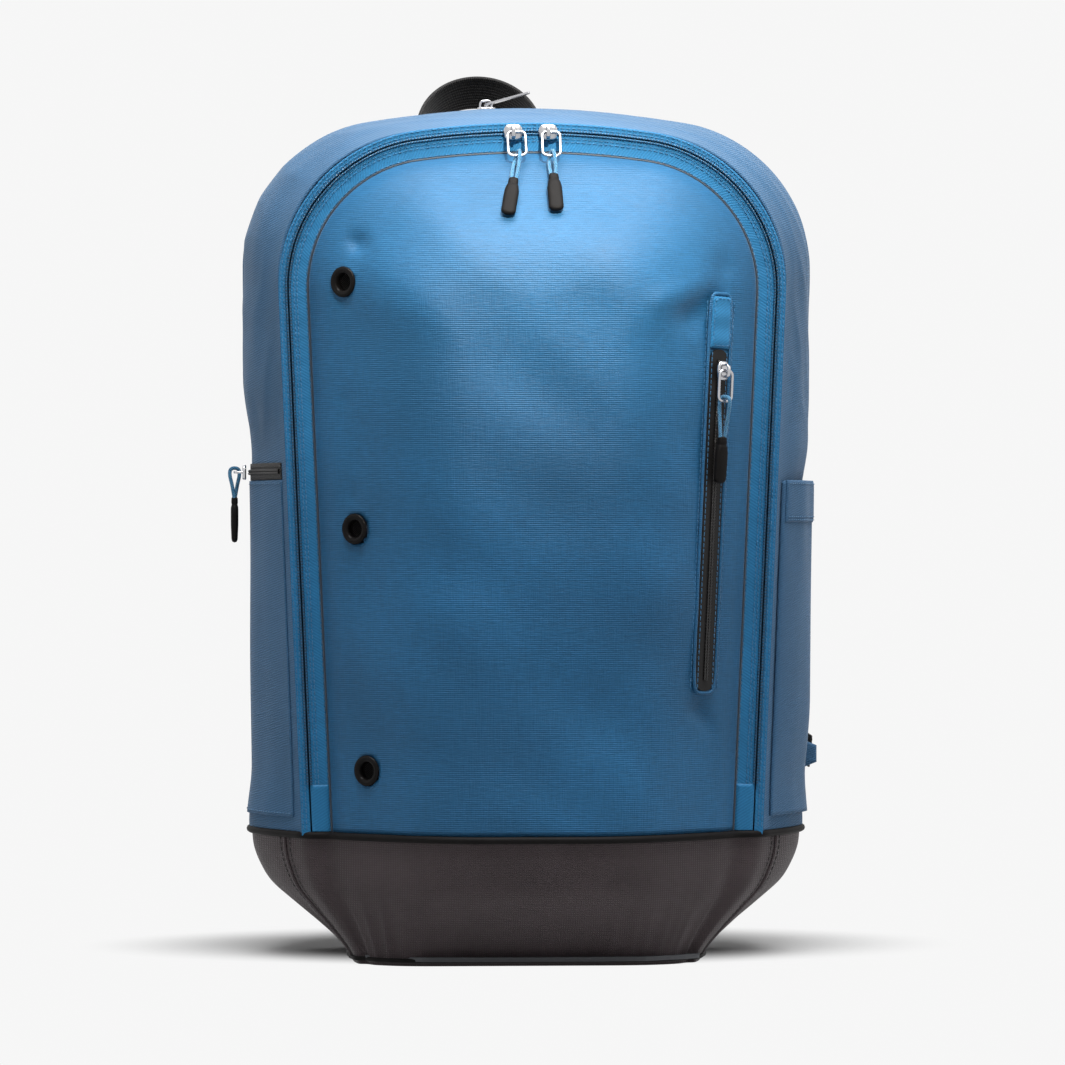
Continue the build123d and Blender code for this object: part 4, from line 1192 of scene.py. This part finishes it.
def main_zip_hardware():
    """Both sliders of the main zip, each with its link, cord and pull."""
    for side, drop, turn, length in (("left", 17.0, -10.0, 0.0485), ("right", 13.5, 3.0, 0.0417)):
        eye, x = joint_frame(side + "_link_swing")
        axes = basis(x, (0, -1, 0))
        slider_shell("main_slider_" + side + "_cast", eye - axes[2] * mm(EYE_Z), axes, 11.0, 9.0, False, 3.146,
                     side + "_slider", "main_slider_" + side)
        leaning = tilt(axes, 34.0)
        wire_link("main_link_" + side + "_wire", eye, leaning, 1.6, side + "_link", "main_link_" + side)
        bar, _ = joint_frame(side + "_tag_swing")
        hang = sway(tilt(leaning, 38.66 - 2.5 - 34.0), turn)
        hanging_tag("main_" + side, bar, hang, drop, side + "_tag")


def pocket_zip_hardware():
    """Slider, link, cord and pull of the front pocket's zip."""
    eye, x = joint_frame("pocket_link_swing")
    up = -np.array(JOINTS["pocket_slider_travel"]["axis"], float)
    axes = basis(x, np.cross(x, up))
    slider_shell("pocket_slider_cast", eye - axes[2] * mm(EYE_Z), axes, 9.0, 11.0, False, 3.146, "pocket_slider", "pocket_slider")
    wire_link("pocket_link_wire", eye, axes, 0.0, "pocket_link", "pocket_link")
    bar, _ = joint_frame("pocket_tag_swing")
    hanging_tag("pocket", bar, tilt(axes, -1.5), 20.0, "pocket_tag")


def side_zip_hardware():
    """Slider, cord and pull of the zipped side pocket."""
    bar, x = joint_frame("side_tag_swing")
    axes = basis(x, (-1, 0, 0))
    slider_shell("side_slider_cast", bar - axes[2] * mm(6.8), axes, 11.0, 9.0, True, 3.9, "side_slider", "side_slider")
    hanging_tag("side", bar, axes, 14.0, "side_tag")


def rear_zip_hardware():
    """Slider and flat puller of the rear compartment."""
    eye, _ = joint_frame("rear_puller_flip")
    centre = np.array(JOINTS["rear_slider_travel"]["pos_m"])
    axes = basis((0, 1, 0), eye - centre)
    slider_shell("rear_slider_cast", eye - axes[2] * mm(EYE_Z), axes, 9.0, 11.0, False, 3.146, "rear_slider", "rear_slider")
    flat = tilt(axes, 13.0)
    outline = round_angles(96)
    outer = np.stack([4.5 * squared(np.cos(outline), 0.45),
                      0.9 - 14.0 + 14.0 * squared(np.sin(outline), 0.3)], axis=-1)
    shape = flat_plate("rear_puller_plate", outer, eye, flat)
    ride(shape, "rear_puller", ("rear_puller",))


def flat_plate(name, outer, origin, axes):
    """Flat pressed plate with a window at its top and an oblong hole near its end, its edges bevelled.

    Outer edge, both holes and the web between are filled by a triangle fill, then given thickness.
    """
    a = round_angles(32)
    window = np.stack([2.6 * squared(np.cos(a), 0.4), -3.3 + 2.35 * squared(np.sin(a), 0.4)], axis=-1)
    hole = np.stack([2.1 * np.cos(a), -19.0 + 4.2 * squared(np.sin(a), 0.7)], axis=-1)
    work = bmesh.new()
    for ring in (outer, window, hole):
        flat = place(np.column_stack([ring, np.zeros(len(ring))]), origin, axes)
        verts = [work.verts.new(tuple(point)) for point in flat]
        for first, second in zip(verts, verts[1:] + verts[:1]):
            work.edges.new((first, second))
    bmesh.ops.triangle_fill(work, edges=work.edges, use_beauty=True, normal=tuple(axes[2]))
    mesh = bpy.data.meshes.new(name)
    work.to_mesh(mesh)
    work.free()
    plate = bpy.data.objects.new(name, mesh)
    bpy.context.collection.objects.link(plate)
    mesh.materials.append(finish("plated_metal"))
    solidify(plate, mm(1.1), 0.0)
    bevel = plate.modifiers.new("eased_edge", "BEVEL")
    bevel.width = mm(0.25)
    bevel.segments = 3
    return plate


# ---- trim on the front panel ----

def lathe(profile, origin, axes, steps=64):
    """Closed profile of (radius, height) in millimetres, turned about the local Z."""
    a = round_angles(steps)[:, None]
    radius, height = profile[None, :, 0], profile[None, :, 1]
    local = stacked(radius * np.cos(a), radius * np.sin(a), height)
    return place(local, origin, axes)


def eyelet_trim():
    """Three glossy eyelets: a rolled flange, a dished lip and a barrel, with mesh behind each."""
    profile = np.array([[8.75, 0.1], [8.7, 0.7], [8.35, 1.25], [7.6, 1.58], [6.7, 1.6], [5.9, 1.35], [5.3, 0.9],
                        [4.85, 0.2], [4.7, -1.0], [4.7, -3.8], [5.5, -3.8], [5.55, -0.6], [6.2, 0.0]])
    for index, (inset, z) in enumerate(EYELETS):
        origin, axes = flank(-1, mm(inset), mm(z))
        rim = grid_piece("eyelet_rim_" + str(index + 1), lathe(profile, origin, axes), finish("glossy_moulding"),
                         wrap_rows=True, wrap_columns=True)
        ride(outward_faces(rim), "front_flap", ("eyelets",) if index == 0 else ())
        rows = np.linspace(-4.7, 4.7, 12)
        strands = []
        for turn in (0.6, 0.6 + np.pi / 2):
            for offset in rows[1:-1]:
                reach = math.sqrt(4.7**2 - offset**2)
                local = np.array([[-reach, offset, -2.2], [0, offset, -2.35], [reach, offset, -2.2]])
                turned = np.column_stack([local[:, 0] * math.cos(turn) - local[:, 1] * math.sin(turn),
                                          local[:, 0] * math.sin(turn) + local[:, 1] * math.cos(turn), local[:, 2]])
                strands.append(sweep(turned, ring_profile(0.16, 0.16, 5), np.tile([0.0, 0, 1], (3, 1))))
        grid = place(np.stack(strands).reshape(-1, 3), origin, axes)
        faces = (np.array(grid_faces(3, 5, wrap_columns=True))[None] + 15 * np.arange(len(strands))[:, None, None]).reshape(-1, 4)
        net = new_piece("eyelet_net_" + str(index + 1), grid, faces.tolist(), finish("black_moulding"))
        ride(outward_faces(net), "front_flap", ("eyelet_meshes",) if index == 0 else ())


def pocket_zip_trim():
    """Black pocket zip with its teeth, a sewn welt each side, and the blue hood over its top end."""
    origin, axes = flank(1, mm(23.5), mm(254))
    zip_low, zip_high = -97.0, 97.0
    tape = bpy.data.objects.get("pocket_zip_tape")
    for shift in (-0.78, 0.78):
        y = np.linspace(zip_low + 6, zip_high - 6, 400)
        path = place(np.column_stack([np.full_like(y, shift), y, np.full_like(y, 1.35)]), origin, axes)
        teeth = toothed_tube("pocket_zip_teeth_" + ("left" if shift < 0 else "right"), path, np.tile(axes[2], (len(y), 1)),
                             mm(0.85), finish("black_zip_coil"))
        ride(teeth, "front_flap", ("pocket_zip_coil",) if shift < 0 else ())
    u = round_angles(500)
    for name, half_x, half_y, radius, rise in (("pocket_zip_welt", 8.6, 113.5, 1.1, 0.35),):
        x = half_x * squared(np.cos(u), 0.35)
        y = 15.2 + half_y * squared(np.sin(u), 0.12)
        path = place(np.column_stack([x, y, np.full_like(x, rise)]), origin, axes)
        tube = sweep(path, ring_profile(mm(radius * 0.8), mm(radius), 8), np.tile(axes[2], (len(path), 1)), True)
        welt = grid_piece(name, tube, finish("panel_cloth"), wrap_rows=True, wrap_columns=True)
        ride(outward_faces(welt), "front_flap", ())
    rows = []
    for half_x in (10.6, 5.8):
        for side in (-1, 1):
            y = np.linspace(-96, 126 if half_x > 8 else 95, 300)
            lift = 0.25 if half_x > 8 else 0.95
            path = place(np.column_stack([np.full_like(y, side * half_x), y, np.full_like(y, lift)]), origin, axes)
            rows.append(stitch_row(path, np.tile(axes[2], (len(path), 1))))
    centres, along, outs = (np.concatenate(part) for part in zip(*rows))
    ride(capsules("pocket_zip_stitches", centres, along, outs, mm(2.4), mm(0.5), mm(0.45), finish("blue_thread")), "front_flap")
    hood_origin, hood_axes = flank(1, mm(23.5), mm(366.5))
    u, v = np.meshgrid(np.linspace(-1, 1, 41), np.linspace(-1, 1, 61))
    dome = (np.clip(1 - np.abs(u)**6, 0, 1) * np.clip(1 - np.abs(v)**10, 0, 1))**0.5
    local = np.stack([7.7 * u, 14.8 * v, 0.1 + 1.9 * dome + 0.25 * np.sin(v * 7) * dome], axis=-1)
    grid = place(local.reshape(-1, 3), hood_origin, hood_axes).reshape(61, 41, 3)
    hood = grid_piece("pocket_zip_hood", grid, finish("zip_tape_weave"), uv=local[..., [1, 0]] * 0.001)
    face_out(hood, (0, 0, mm(300)))
    ride(hood, "front_flap", ("pocket_zip_garage",))
    a = round_angles(200)
    ring = np.column_stack([6.4 * squared(np.cos(a), 0.4), 13.4 * squared(np.sin(a), 0.25),
                            np.full_like(a, 1.95)])
    path = place(ring, hood_origin, hood_axes)
    centres, along, outs = stitch_row(path, np.tile(hood_axes[2], (len(path), 1)))
    ride(capsules("pocket_hood_stitches", centres, along, outs, mm(2.4), mm(0.5), mm(0.5), finish("blue_thread")), "front_flap")
    return tape


# ---- handle, pads and straps ----

def webbing_band(name, path, out, wide, thick, material, body, nodes, ribs=0):
    """Webbing: a flat rounded section carried along a path, with ribs along it and the map in metres."""
    run = run_along(path)
    a = round_angles(72)
    across = wide / 2 * squared(np.sin(a), 0.5)
    rise = thick / 2 * squared(np.cos(a), 0.35)
    if ribs:
        rise = rise * (0.86 + 0.14 * np.abs(np.cos(across / wide * np.pi * ribs)))
    grid = sweep(path, np.stack([rise, across], axis=-1), out)
    uv = stacked(run[:, None], across[None, :] + wide)
    ends = [grid[:1].mean(axis=1, keepdims=True), grid[-1:].mean(axis=1, keepdims=True)]
    grid = np.concatenate([np.broadcast_to(ends[0], (1,) + grid.shape[1:]), grid, np.broadcast_to(ends[1], (1,) + grid.shape[1:])])
    uv = np.concatenate([uv[:1], uv, uv[-1:]])
    band = grid_piece(name, grid, material, wrap_columns=True, uv=uv)
    return ride(outward_faces(band), body, nodes)


def grab_handle():
    """Webbing loop that leans back from the top of the bag, doubled and ribbed."""
    joint = np.array(JOINTS["handle_swing"]["pos_m"])
    lean = math.sqrt(0.5)
    axes = np.array([[1, 0, 0], [0, lean, lean], [0, -lean, lean]])
    a = np.linspace(0, np.pi, 120)
    local = np.column_stack([-37.2 * np.cos(a), 53.0 * np.sin(a)**0.9, np.zeros_like(a)])
    path = place(local, joint, axes)
    out = unit(path - joint + axes[1] * 0.002)
    webbing_band("handle_webbing", path, out, mm(24.6), mm(3.3), finish("black_webbing"), "grab_handle", ("grab_handle",), 9)


def smooth_line(points, count=160):
    """Smooth line through a few points: running means of the evenly divided runs."""
    points = np.asarray(points, float)
    run = run_along(points)
    even = np.linspace(0, run[-1], count)
    line = sampled(even, run, points)
    for _ in range(60):
        line[1:-1] = (line[:-2] + line[1:-1] + line[2:]) / 3
    return line


def stuffed(name, node_name, material, cap, pressure, inset, seed):
    """Padded piece from its CAD form: drawn in, remeshed, inflated as cloth, capped and smoothed."""
    source = bpy.data.objects[frame["nodes"][node_name].name]
    mesh = source.data.copy()
    pad = bpy.data.objects.new(name, mesh)
    bpy.context.collection.objects.link(pad)
    mesh.materials.clear()
    outward_faces(pad, 1e-5)
    points = vertex_array(mesh)
    centre = (points.min(axis=0) + points.max(axis=0)) / 2
    half = (points.max(axis=0) - points.min(axis=0)) / 2
    set_vertices(mesh, centre + (points - centre) * (1 - inset / np.maximum(half, inset * 2)))
    run_modifier(pad, "REMESH", mode="VOXEL", voxel_size=mm(4))
    before = vertex_array(pad.data)
    cloth = pad.modifiers.new("inflate", "CLOTH")
    cloth.settings.use_pressure = True
    cloth.settings.uniform_pressure_force = pressure
    cloth.settings.effector_weights.gravity = 0
    cloth.settings.quality = 4
    cloth.point_cache.frame_start, cloth.point_cache.frame_end = 1, 20
    for step in range(1, 21):
        bpy.context.scene.frame_set(step)
    apply_modifiers(pad)
    bpy.context.scene.frame_set(1)
    after = vertex_array(pad.data)
    move = after - before
    far = np.linalg.norm(move, axis=1, keepdims=True)
    move = move * np.minimum(1, cap / np.maximum(far, 1e-9))
    low, high = np.array(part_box(node_name)[0]), np.array(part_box(node_name)[1])
    shaped = np.clip(before + move, low - mm(0.5), high + mm(1.5))
    shaped[:, 1] = np.maximum(shaped[:, 1], low[1] + mm(0.05))
    set_vertices(pad.data, shaped)
    for _ in range(1):
        run_modifier(pad, "SMOOTH", factor=0.5, iterations=4)
    run_modifier(pad, "SUBSURF", levels=1, render_levels=1)
    pad.data.materials.append(material)
    pad.data.polygons.foreach_set("use_smooth", np.ones(len(pad.data.polygons), dtype=bool))
    ride(pad, "bag", (node_name,))
    return pad


def vertex_array(mesh):
    points = np.empty(len(mesh.vertices) * 3)
    mesh.vertices.foreach_get("co", points)
    return points.reshape(-1, 3)


def set_vertices(mesh, points):
    mesh.vertices.foreach_set("co", np.ascontiguousarray(points, dtype=np.float32).ravel())
    mesh.update()


def apply_modifiers(piece):
    """Keep the evaluated mesh and drop the modifiers."""
    held = bpy.data.meshes.new_from_object(piece.evaluated_get(bpy.context.evaluated_depsgraph_get()))
    piece.modifiers.clear()
    piece.data = held


def run_modifier(piece, kind, **settings):
    modifier = piece.modifiers.new("shape", kind)
    for key, value in settings.items():
        setattr(modifier, key, value)
    bpy.context.view_layer.update()
    apply_modifiers(piece)


def back_padding():
    """Mesh pads on the back, the two shoulder straps and the yoke they hang from."""
    for side in ("left", "right"):
        stuffed("back_pad_" + side + "_foam", "back_pad_" + side, finish("air_mesh"), mm(6), 4.0, mm(2.5), 1)
        stuffed("shoulder_strap_" + side + "_foam", "shoulder_strap_" + side, finish("air_mesh"), mm(6), 4.0, mm(2), 2)
    stuffed("lumbar_foam", "lumbar_pad", finish("air_mesh"), mm(6), 4.0, mm(2.5), 3)
    stuffed("yoke_foam", "strap_yoke", finish("black_webbing"), mm(4), 4.0, mm(1.5), 4)
    strap_binding()


def strap_binding():
    """Piped edge down both long sides of each shoulder strap, level with its middle."""
    for side, sign in (("left", -1), ("right", 1)):
        low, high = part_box("shoulder_strap_" + side)
        z = np.linspace(high[2] - mm(8), low[2] + mm(6), 90)
        u = (high[2] - z) / (high[2] - low[2])
        centre = sign * (mm(46) + mm(30.5) * (1 - (1 - u)**1.9))
        for edge in (-1, 1):
            path = np.stack([centre + edge * mm(26.5), np.full_like(z, high[1] - mm(1.2)), z], axis=-1)
            tube = sweep(path, ring_profile(mm(1.2), mm(1.2), 8), np.tile([0.0, 1, 0], (len(z), 1)))
            uv = stacked(z[:, None], np.arange(8)[None, :] * mm(1))
            piping = grid_piece("strap_binding_" + side + ("_inner" if edge * sign < 0 else "_outer"), tube,
                                finish("black_webbing"), wrap_columns=True, uv=uv)
            ride(outward_faces(piping), "bag", ())


def strap_webbings():
    """Webbing from each shoulder strap, through its ladder lock and round to the anchor tab low on the side."""
    for side, sign in (("left", -1), ("right", 1)):
        low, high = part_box("strap_webbing_" + side)
        y = high[1] - mm(1)
        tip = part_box("strap_anchor_" + side)
        reach, depth = (mm(154), mm(64)) if sign < 0 else (mm(173), mm(53.5))
        points = [(sign * mm(76), y, high[2] - mm(1)), (sign * mm(76), y, mm(174)), (sign * mm(120), y, mm(142)),
                  (sign * (reach - mm(10)), y - mm(8), mm(124)), (sign * reach, depth, mm(116))]
        path = smooth_line(points)
        normal = np.tile([0.0, 1.0, 0.0], (len(path), 1))
        bend = smoothstep(0.8, 1.0, np.linspace(0, 1, len(path)))[:, None]
        normal = unit(normal * (1 - bend) + np.array([sign * 1.0, 0.25, 0]) * bend)
        webbing_band("strap_webbing_" + side + "_band", path, normal, mm(19.6), mm(1.7), finish("black_webbing"), "bag",
                     ("strap_webbing_" + side,), 8)
        anchor_tab(side, sign, *tip)


def anchor_tab(side, sign, low, high):
    """Folded triangle of cloth sewn in the side seam; the strap webbing comes down to it."""
    root, tip = (high[0], low[0]) if sign < 0 else (low[0], high[0])
    u = np.linspace(0, 1, 24)[:, None]
    v = np.linspace(-1, 1, 20)[None, :]
    half = (1 - u) * (high[2] - low[2]) / 2 + u * mm(5)
    fold = mm(14) if sign < 0 else 0.0
    tip = tip + fold * 1.1 * (1 if sign < 0 else 0)
    x = np.broadcast_to(root + (tip - root) * u, (24, 20))
    z = (low[2] + high[2]) / 2 + half * v
    bulge = np.sqrt(np.clip(1 - v**8, 0, 1)) * np.sqrt(np.clip(1 - u**10, 0, 1))
    middle, thick = (low[1] + high[1]) / 2, (high[1] - low[1]) / 2 * 0.9
    turned = middle + fold * u**1.3
    front = np.stack([x, turned - thick * bulge, z], axis=-1)
    back = np.stack([x, turned + thick * bulge, z], axis=-1)[:, ::-1]
    grid = np.concatenate([front, back], axis=1)
    tab = grid_piece("anchor_tab_" + side, grid, finish("gusset_twill"), wrap_columns=True)
    ride(outward_faces(tab, MERGE), "bag", ("strap_anchor_" + side,))


def dress_frame():
    """Finishes for the CAD pieces that stay as they are."""
    kept = {"base_board": finish("lining_cloth"), "compartment_divider": finish("lining_cloth"), "panel_lining": finish("lining_cloth"),
            "back_panel": finish("air_mesh"), "pocket_zip_tape": finish("black_zip_tape"), "handle_patch": finish("black_webbing"),
            "ladder_lock_left": finish("black_moulding"), "ladder_lock_right": finish("black_moulding")}
    for node_name, material in kept.items():
        mesh = frame["nodes"][node_name].data
        mesh.materials.clear()
        mesh.materials.append(material)


# ---- floor, light and camera ----

PALE = (0.925, 0.925, 0.925, 1)


def seen_directly(tree):
    """One for camera and mirror rays, nought for the rays that light the bag."""
    path = node(tree, "ShaderNodeLightPath")
    either = math_node(tree, "MAXIMUM", (path, "Is Camera Ray"), (path, "Is Glossy Ray"))
    return math_node(tree, "MAXIMUM", (either, 0), (path, "Is Transmission Ray"))


def stage_material():
    """Pale matt floor that keeps its shadow by the bag and is plain white further off."""
    material, tree, surface = fresh("pale_floor", (0.42, 0.42, 0.42), 0.9, specular_ior_level=0.0)
    place_on = object_space(tree, (1, 1.7, 1))
    place_on.inputs["Location"].default_value = (0, -0.12, 0)
    away = node(tree, "ShaderNodeVectorMath", {0: (place_on, "Vector")}, operation="LENGTH")
    share = node(tree, "ShaderNodeMapRange", {"Value": (away, "Value"), "From Min": 0.13, "From Max": 0.27, "To Min": 0.0,
                                              "To Max": 1.0}, interpolation_type="SMOOTHSTEP")
    factor = math_node(tree, "MULTIPLY", (share, "Result"), (seen_directly(tree), 0))
    glow = node(tree, "ShaderNodeEmission", {"Color": PALE, "Strength": 1.0})
    mix = node(tree, "ShaderNodeMixShader", {0: (factor, 0), 1: (surface, "BSDF"), 2: (glow, "Emission")})
    tree.links.new(mix.outputs["Shader"], tree.nodes["Material Output"].inputs["Surface"])
    return material


def lay_floor():
    """Pale floor that curves up behind: a straight run, a quarter circle, then a wall."""
    a = np.linspace(0, np.pi / 2, 24)
    y = np.concatenate([[-6.0, -2.0], 3.0 + 1.5 * np.sin(a), [4.5]])
    z = np.concatenate([[0.0, 0.0], 1.5 - 1.5 * np.cos(a), [6.0]])
    x = np.linspace(-7, 7, 3)
    grid = stacked(x[None, :], y[:, None], z[:, None] - mm(0.2))
    floor = grid_piece("pale_sweep", grid, stage_material())
    face_out(floor, (0, 9.0, -3.0))
    return floor


def soft_lamp(name, at, aim, size, power, tint=(1, 1, 1)):
    lamp = bpy.data.lights.new(name, "AREA")
    lamp.shape = "RECTANGLE"
    lamp.size, lamp.size_y = size
    lamp.energy = power
    lamp.color = tint
    holder = bpy.data.objects.new(name, lamp)
    bpy.context.collection.objects.link(holder)
    aim_at(holder, at, aim)
    return holder


def aim_at(holder, at, aim):
    holder.location = at
    direction = mathutils.Vector(aim) - mathutils.Vector(at)
    holder.rotation_euler = direction.to_track_quat("-Z", "Y").to_euler()


def light_bag():
    """Large soft lamps: one high in front, weaker ones each side, and an even pale world."""
    soft_lamp("top_softbox", (0.1, -0.50, 2.0), (0, 0, 0.38), (1.6, 0.9), 70)
    soft_lamp("left_softbox", (-2.4, -0.6, 1.1), (0, 0, 0.25), (1.0, 1.6), 4)
    soft_lamp("right_softbox", (2.3, -0.5, 1.3), (0, 0, 0.25), (1.0, 1.6), 7)
    soft_lamp("back_softbox", (0.3, 1.9, 1.9), (0, 0, 0.3), (2.0, 1.2), 16)
    pool = soft_lamp("gridded_softbox", (0.25, -1.9, 1.7), (0.01, -0.1, 0.43), (0.10, 0.10), 0.24, (1.0, 0.94, 0.84))
    pool.data.spread = math.radians(8)
    world = bpy.data.worlds.new("pale_room")
    bpy.context.scene.world = world
    world.use_nodes = True
    tree = world.node_tree
    background = tree.nodes["Background"]
    level = node(tree, "ShaderNodeMapRange", {"Value": (seen_directly(tree), 0), "To Min": 0.20, "To Max": 1.0})
    background.inputs["Color"].default_value = PALE
    tree.links.new(level.outputs["Result"], background.inputs["Strength"])
    bpy.context.scene.view_settings.view_transform = "Standard"


def set_camera():
    """Long lens level with the middle of the bag, a little to its left."""
    distance, yaw = 2.95, math.radians(3.0)
    lens = bpy.data.cameras.new("bag_camera")
    lens.lens = 170.0
    lens.sensor_width = 36.0
    lens.clip_end = 50
    holder = bpy.data.objects.new("bag_camera", lens)
    bpy.context.collection.objects.link(holder)
    aim = (mm(3.6), 0.0, mm(247))
    aim_at(holder, (-distance * math.sin(yaw), -distance * math.cos(yaw), mm(247)), aim)
    bpy.context.scene.camera = holder


# ---- operators ----

class BAG_OT_camera(Operator):
    """Place the camera at the product view"""
    bl_idname = "bag.camera"
    bl_label = "Camera"

    def execute(self, context):
        set_camera()
        return {"FINISHED"}


class BAG_OT_hardware(Operator):
    """Build sliders, links, cords and pulls"""
    bl_idname = "bag.hardware"
    bl_label = "Zip hardware"

    def execute(self, context):
        main_zip_hardware()
        pocket_zip_hardware()
        side_zip_hardware()
        rear_zip_hardware()
        return {"FINISHED"}


class BAG_OT_front(Operator):
    """Build the front panel with its zip, eyelets and pocket"""
    bl_idname = "bag.front"
    bl_label = "Front panel"

    def execute(self, context):
        s = sizes()
        front_panel_skin()
        panel_edge_shade_welt()
        tape_band("panel_tape_band", -panel_inset(), -mm(0.5), FOOT_Z, "front_flap", "panel_zip_tape", mm(0.25))
        tape_band("bag_tape_band", mm(0.5), mm(0.5) + s.bag_tape, SEAM_Z, "bag", "bag_zip_tape", mm(0.2))
        half_coil("panel_coil_teeth", -mm(0.95), "front_flap", "panel_zip_coil")
        half_coil("bag_coil_teeth", mm(0.95), "bag", "bag_zip_coil")
        zip_stitching("panel_tape_stitches", (-mm(3.4), -mm(5.2), -mm(10.6)), "front_flap", FOOT_Z + mm(1))
        zip_stitching("bag_tape_stitches", (mm(2.6), mm(4.6)), "bag", SEAM_Z + mm(3))
        zip_end_tab(-1)
        zip_end_tab(1)
        eyelet_trim()
        pocket_zip_trim()
        return {"FINISHED"}


class BAG_OT_body(Operator):
    """Build the gussets, their seams and the charcoal base"""
    bl_idname = "bag.body"
    bl_label = "Gusset and base"

    def execute(self, context):
        gusset_skin()
        rear_gusset_skin()
        seam_welts()
        base_skin()
        base_trim()
        return {"FINISHED"}


class BAG_OT_pockets(Operator):
    """Build the side pockets and the side and rear zips"""
    bl_idname = "bag.pockets"
    bl_label = "Side pockets and zips"

    def execute(self, context):
        side_pockets()
        side_zip()
        rear_zip()
        return {"FINISHED"}


class BAG_OT_straps(Operator):
    """Build the handle, the pads, the straps and their webbing"""
    bl_idname = "bag.straps"
    bl_label = "Handle, pads and straps"

    def execute(self, context):
        grab_handle()
        back_padding()
        strap_webbings()
        return {"FINISHED"}


class BAG_OT_finishes(Operator):
    """Give the remaining frame pieces their finishes"""
    bl_idname = "bag.finishes"
    bl_label = "Finishes"

    def execute(self, context):
        dress_frame()
        return {"FINISHED"}


class BAG_OT_stage(Operator):
    """Lay the pale floor and set the soft lamps"""
    bl_idname = "bag.stage"
    bl_label = "Stage"

    def execute(self, context):
        lay_floor()
        light_bag()
        return {"FINISHED"}


OPERATORS = (BAG_OT_camera, BAG_OT_hardware, BAG_OT_front, BAG_OT_body, BAG_OT_pockets, BAG_OT_straps, BAG_OT_finishes,
             BAG_OT_stage)


class BAG_PT_panel(Panel):
    """Sizes, colours and pieces of the bag"""
    bl_idname = "BAG_PT_panel"
    bl_label = "Racket backpack"
    bl_space_type = "VIEW_3D"
    bl_region_type = "UI"
    bl_category = "Backpack"

    def draw(self, context):
        for group in (context.scene.bag_sizes, context.scene.bag_colours):
            box = self.layout.box()
            for key in group.__annotations__:
                box.prop(group, key)
        for operator in OPERATORS:
            self.layout.operator(operator.bl_idname)


CLASSES = (BagSizes, BagColours) + OPERATORS + (BAG_PT_panel,)


def register():
    for cls in CLASSES:
        bpy.utils.register_class(cls)
    bpy.types.Scene.bag_sizes = PointerProperty(type=BagSizes)
    bpy.types.Scene.bag_colours = PointerProperty(type=BagColours)


def unregister():
    del bpy.types.Scene.bag_colours
    del bpy.types.Scene.bag_sizes
    for cls in reversed(CLASSES):
        bpy.utils.unregister_class(cls)


def main():
    register()
    bpy.ops.bag.camera()
    bpy.ops.bag.hardware()
    bpy.ops.bag.front()
    bpy.ops.bag.body()
    bpy.ops.bag.pockets()
    bpy.ops.bag.straps()
    bpy.ops.bag.finishes()
    bpy.ops.bag.stage()
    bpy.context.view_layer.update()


if __name__ == "__main__":
    main()
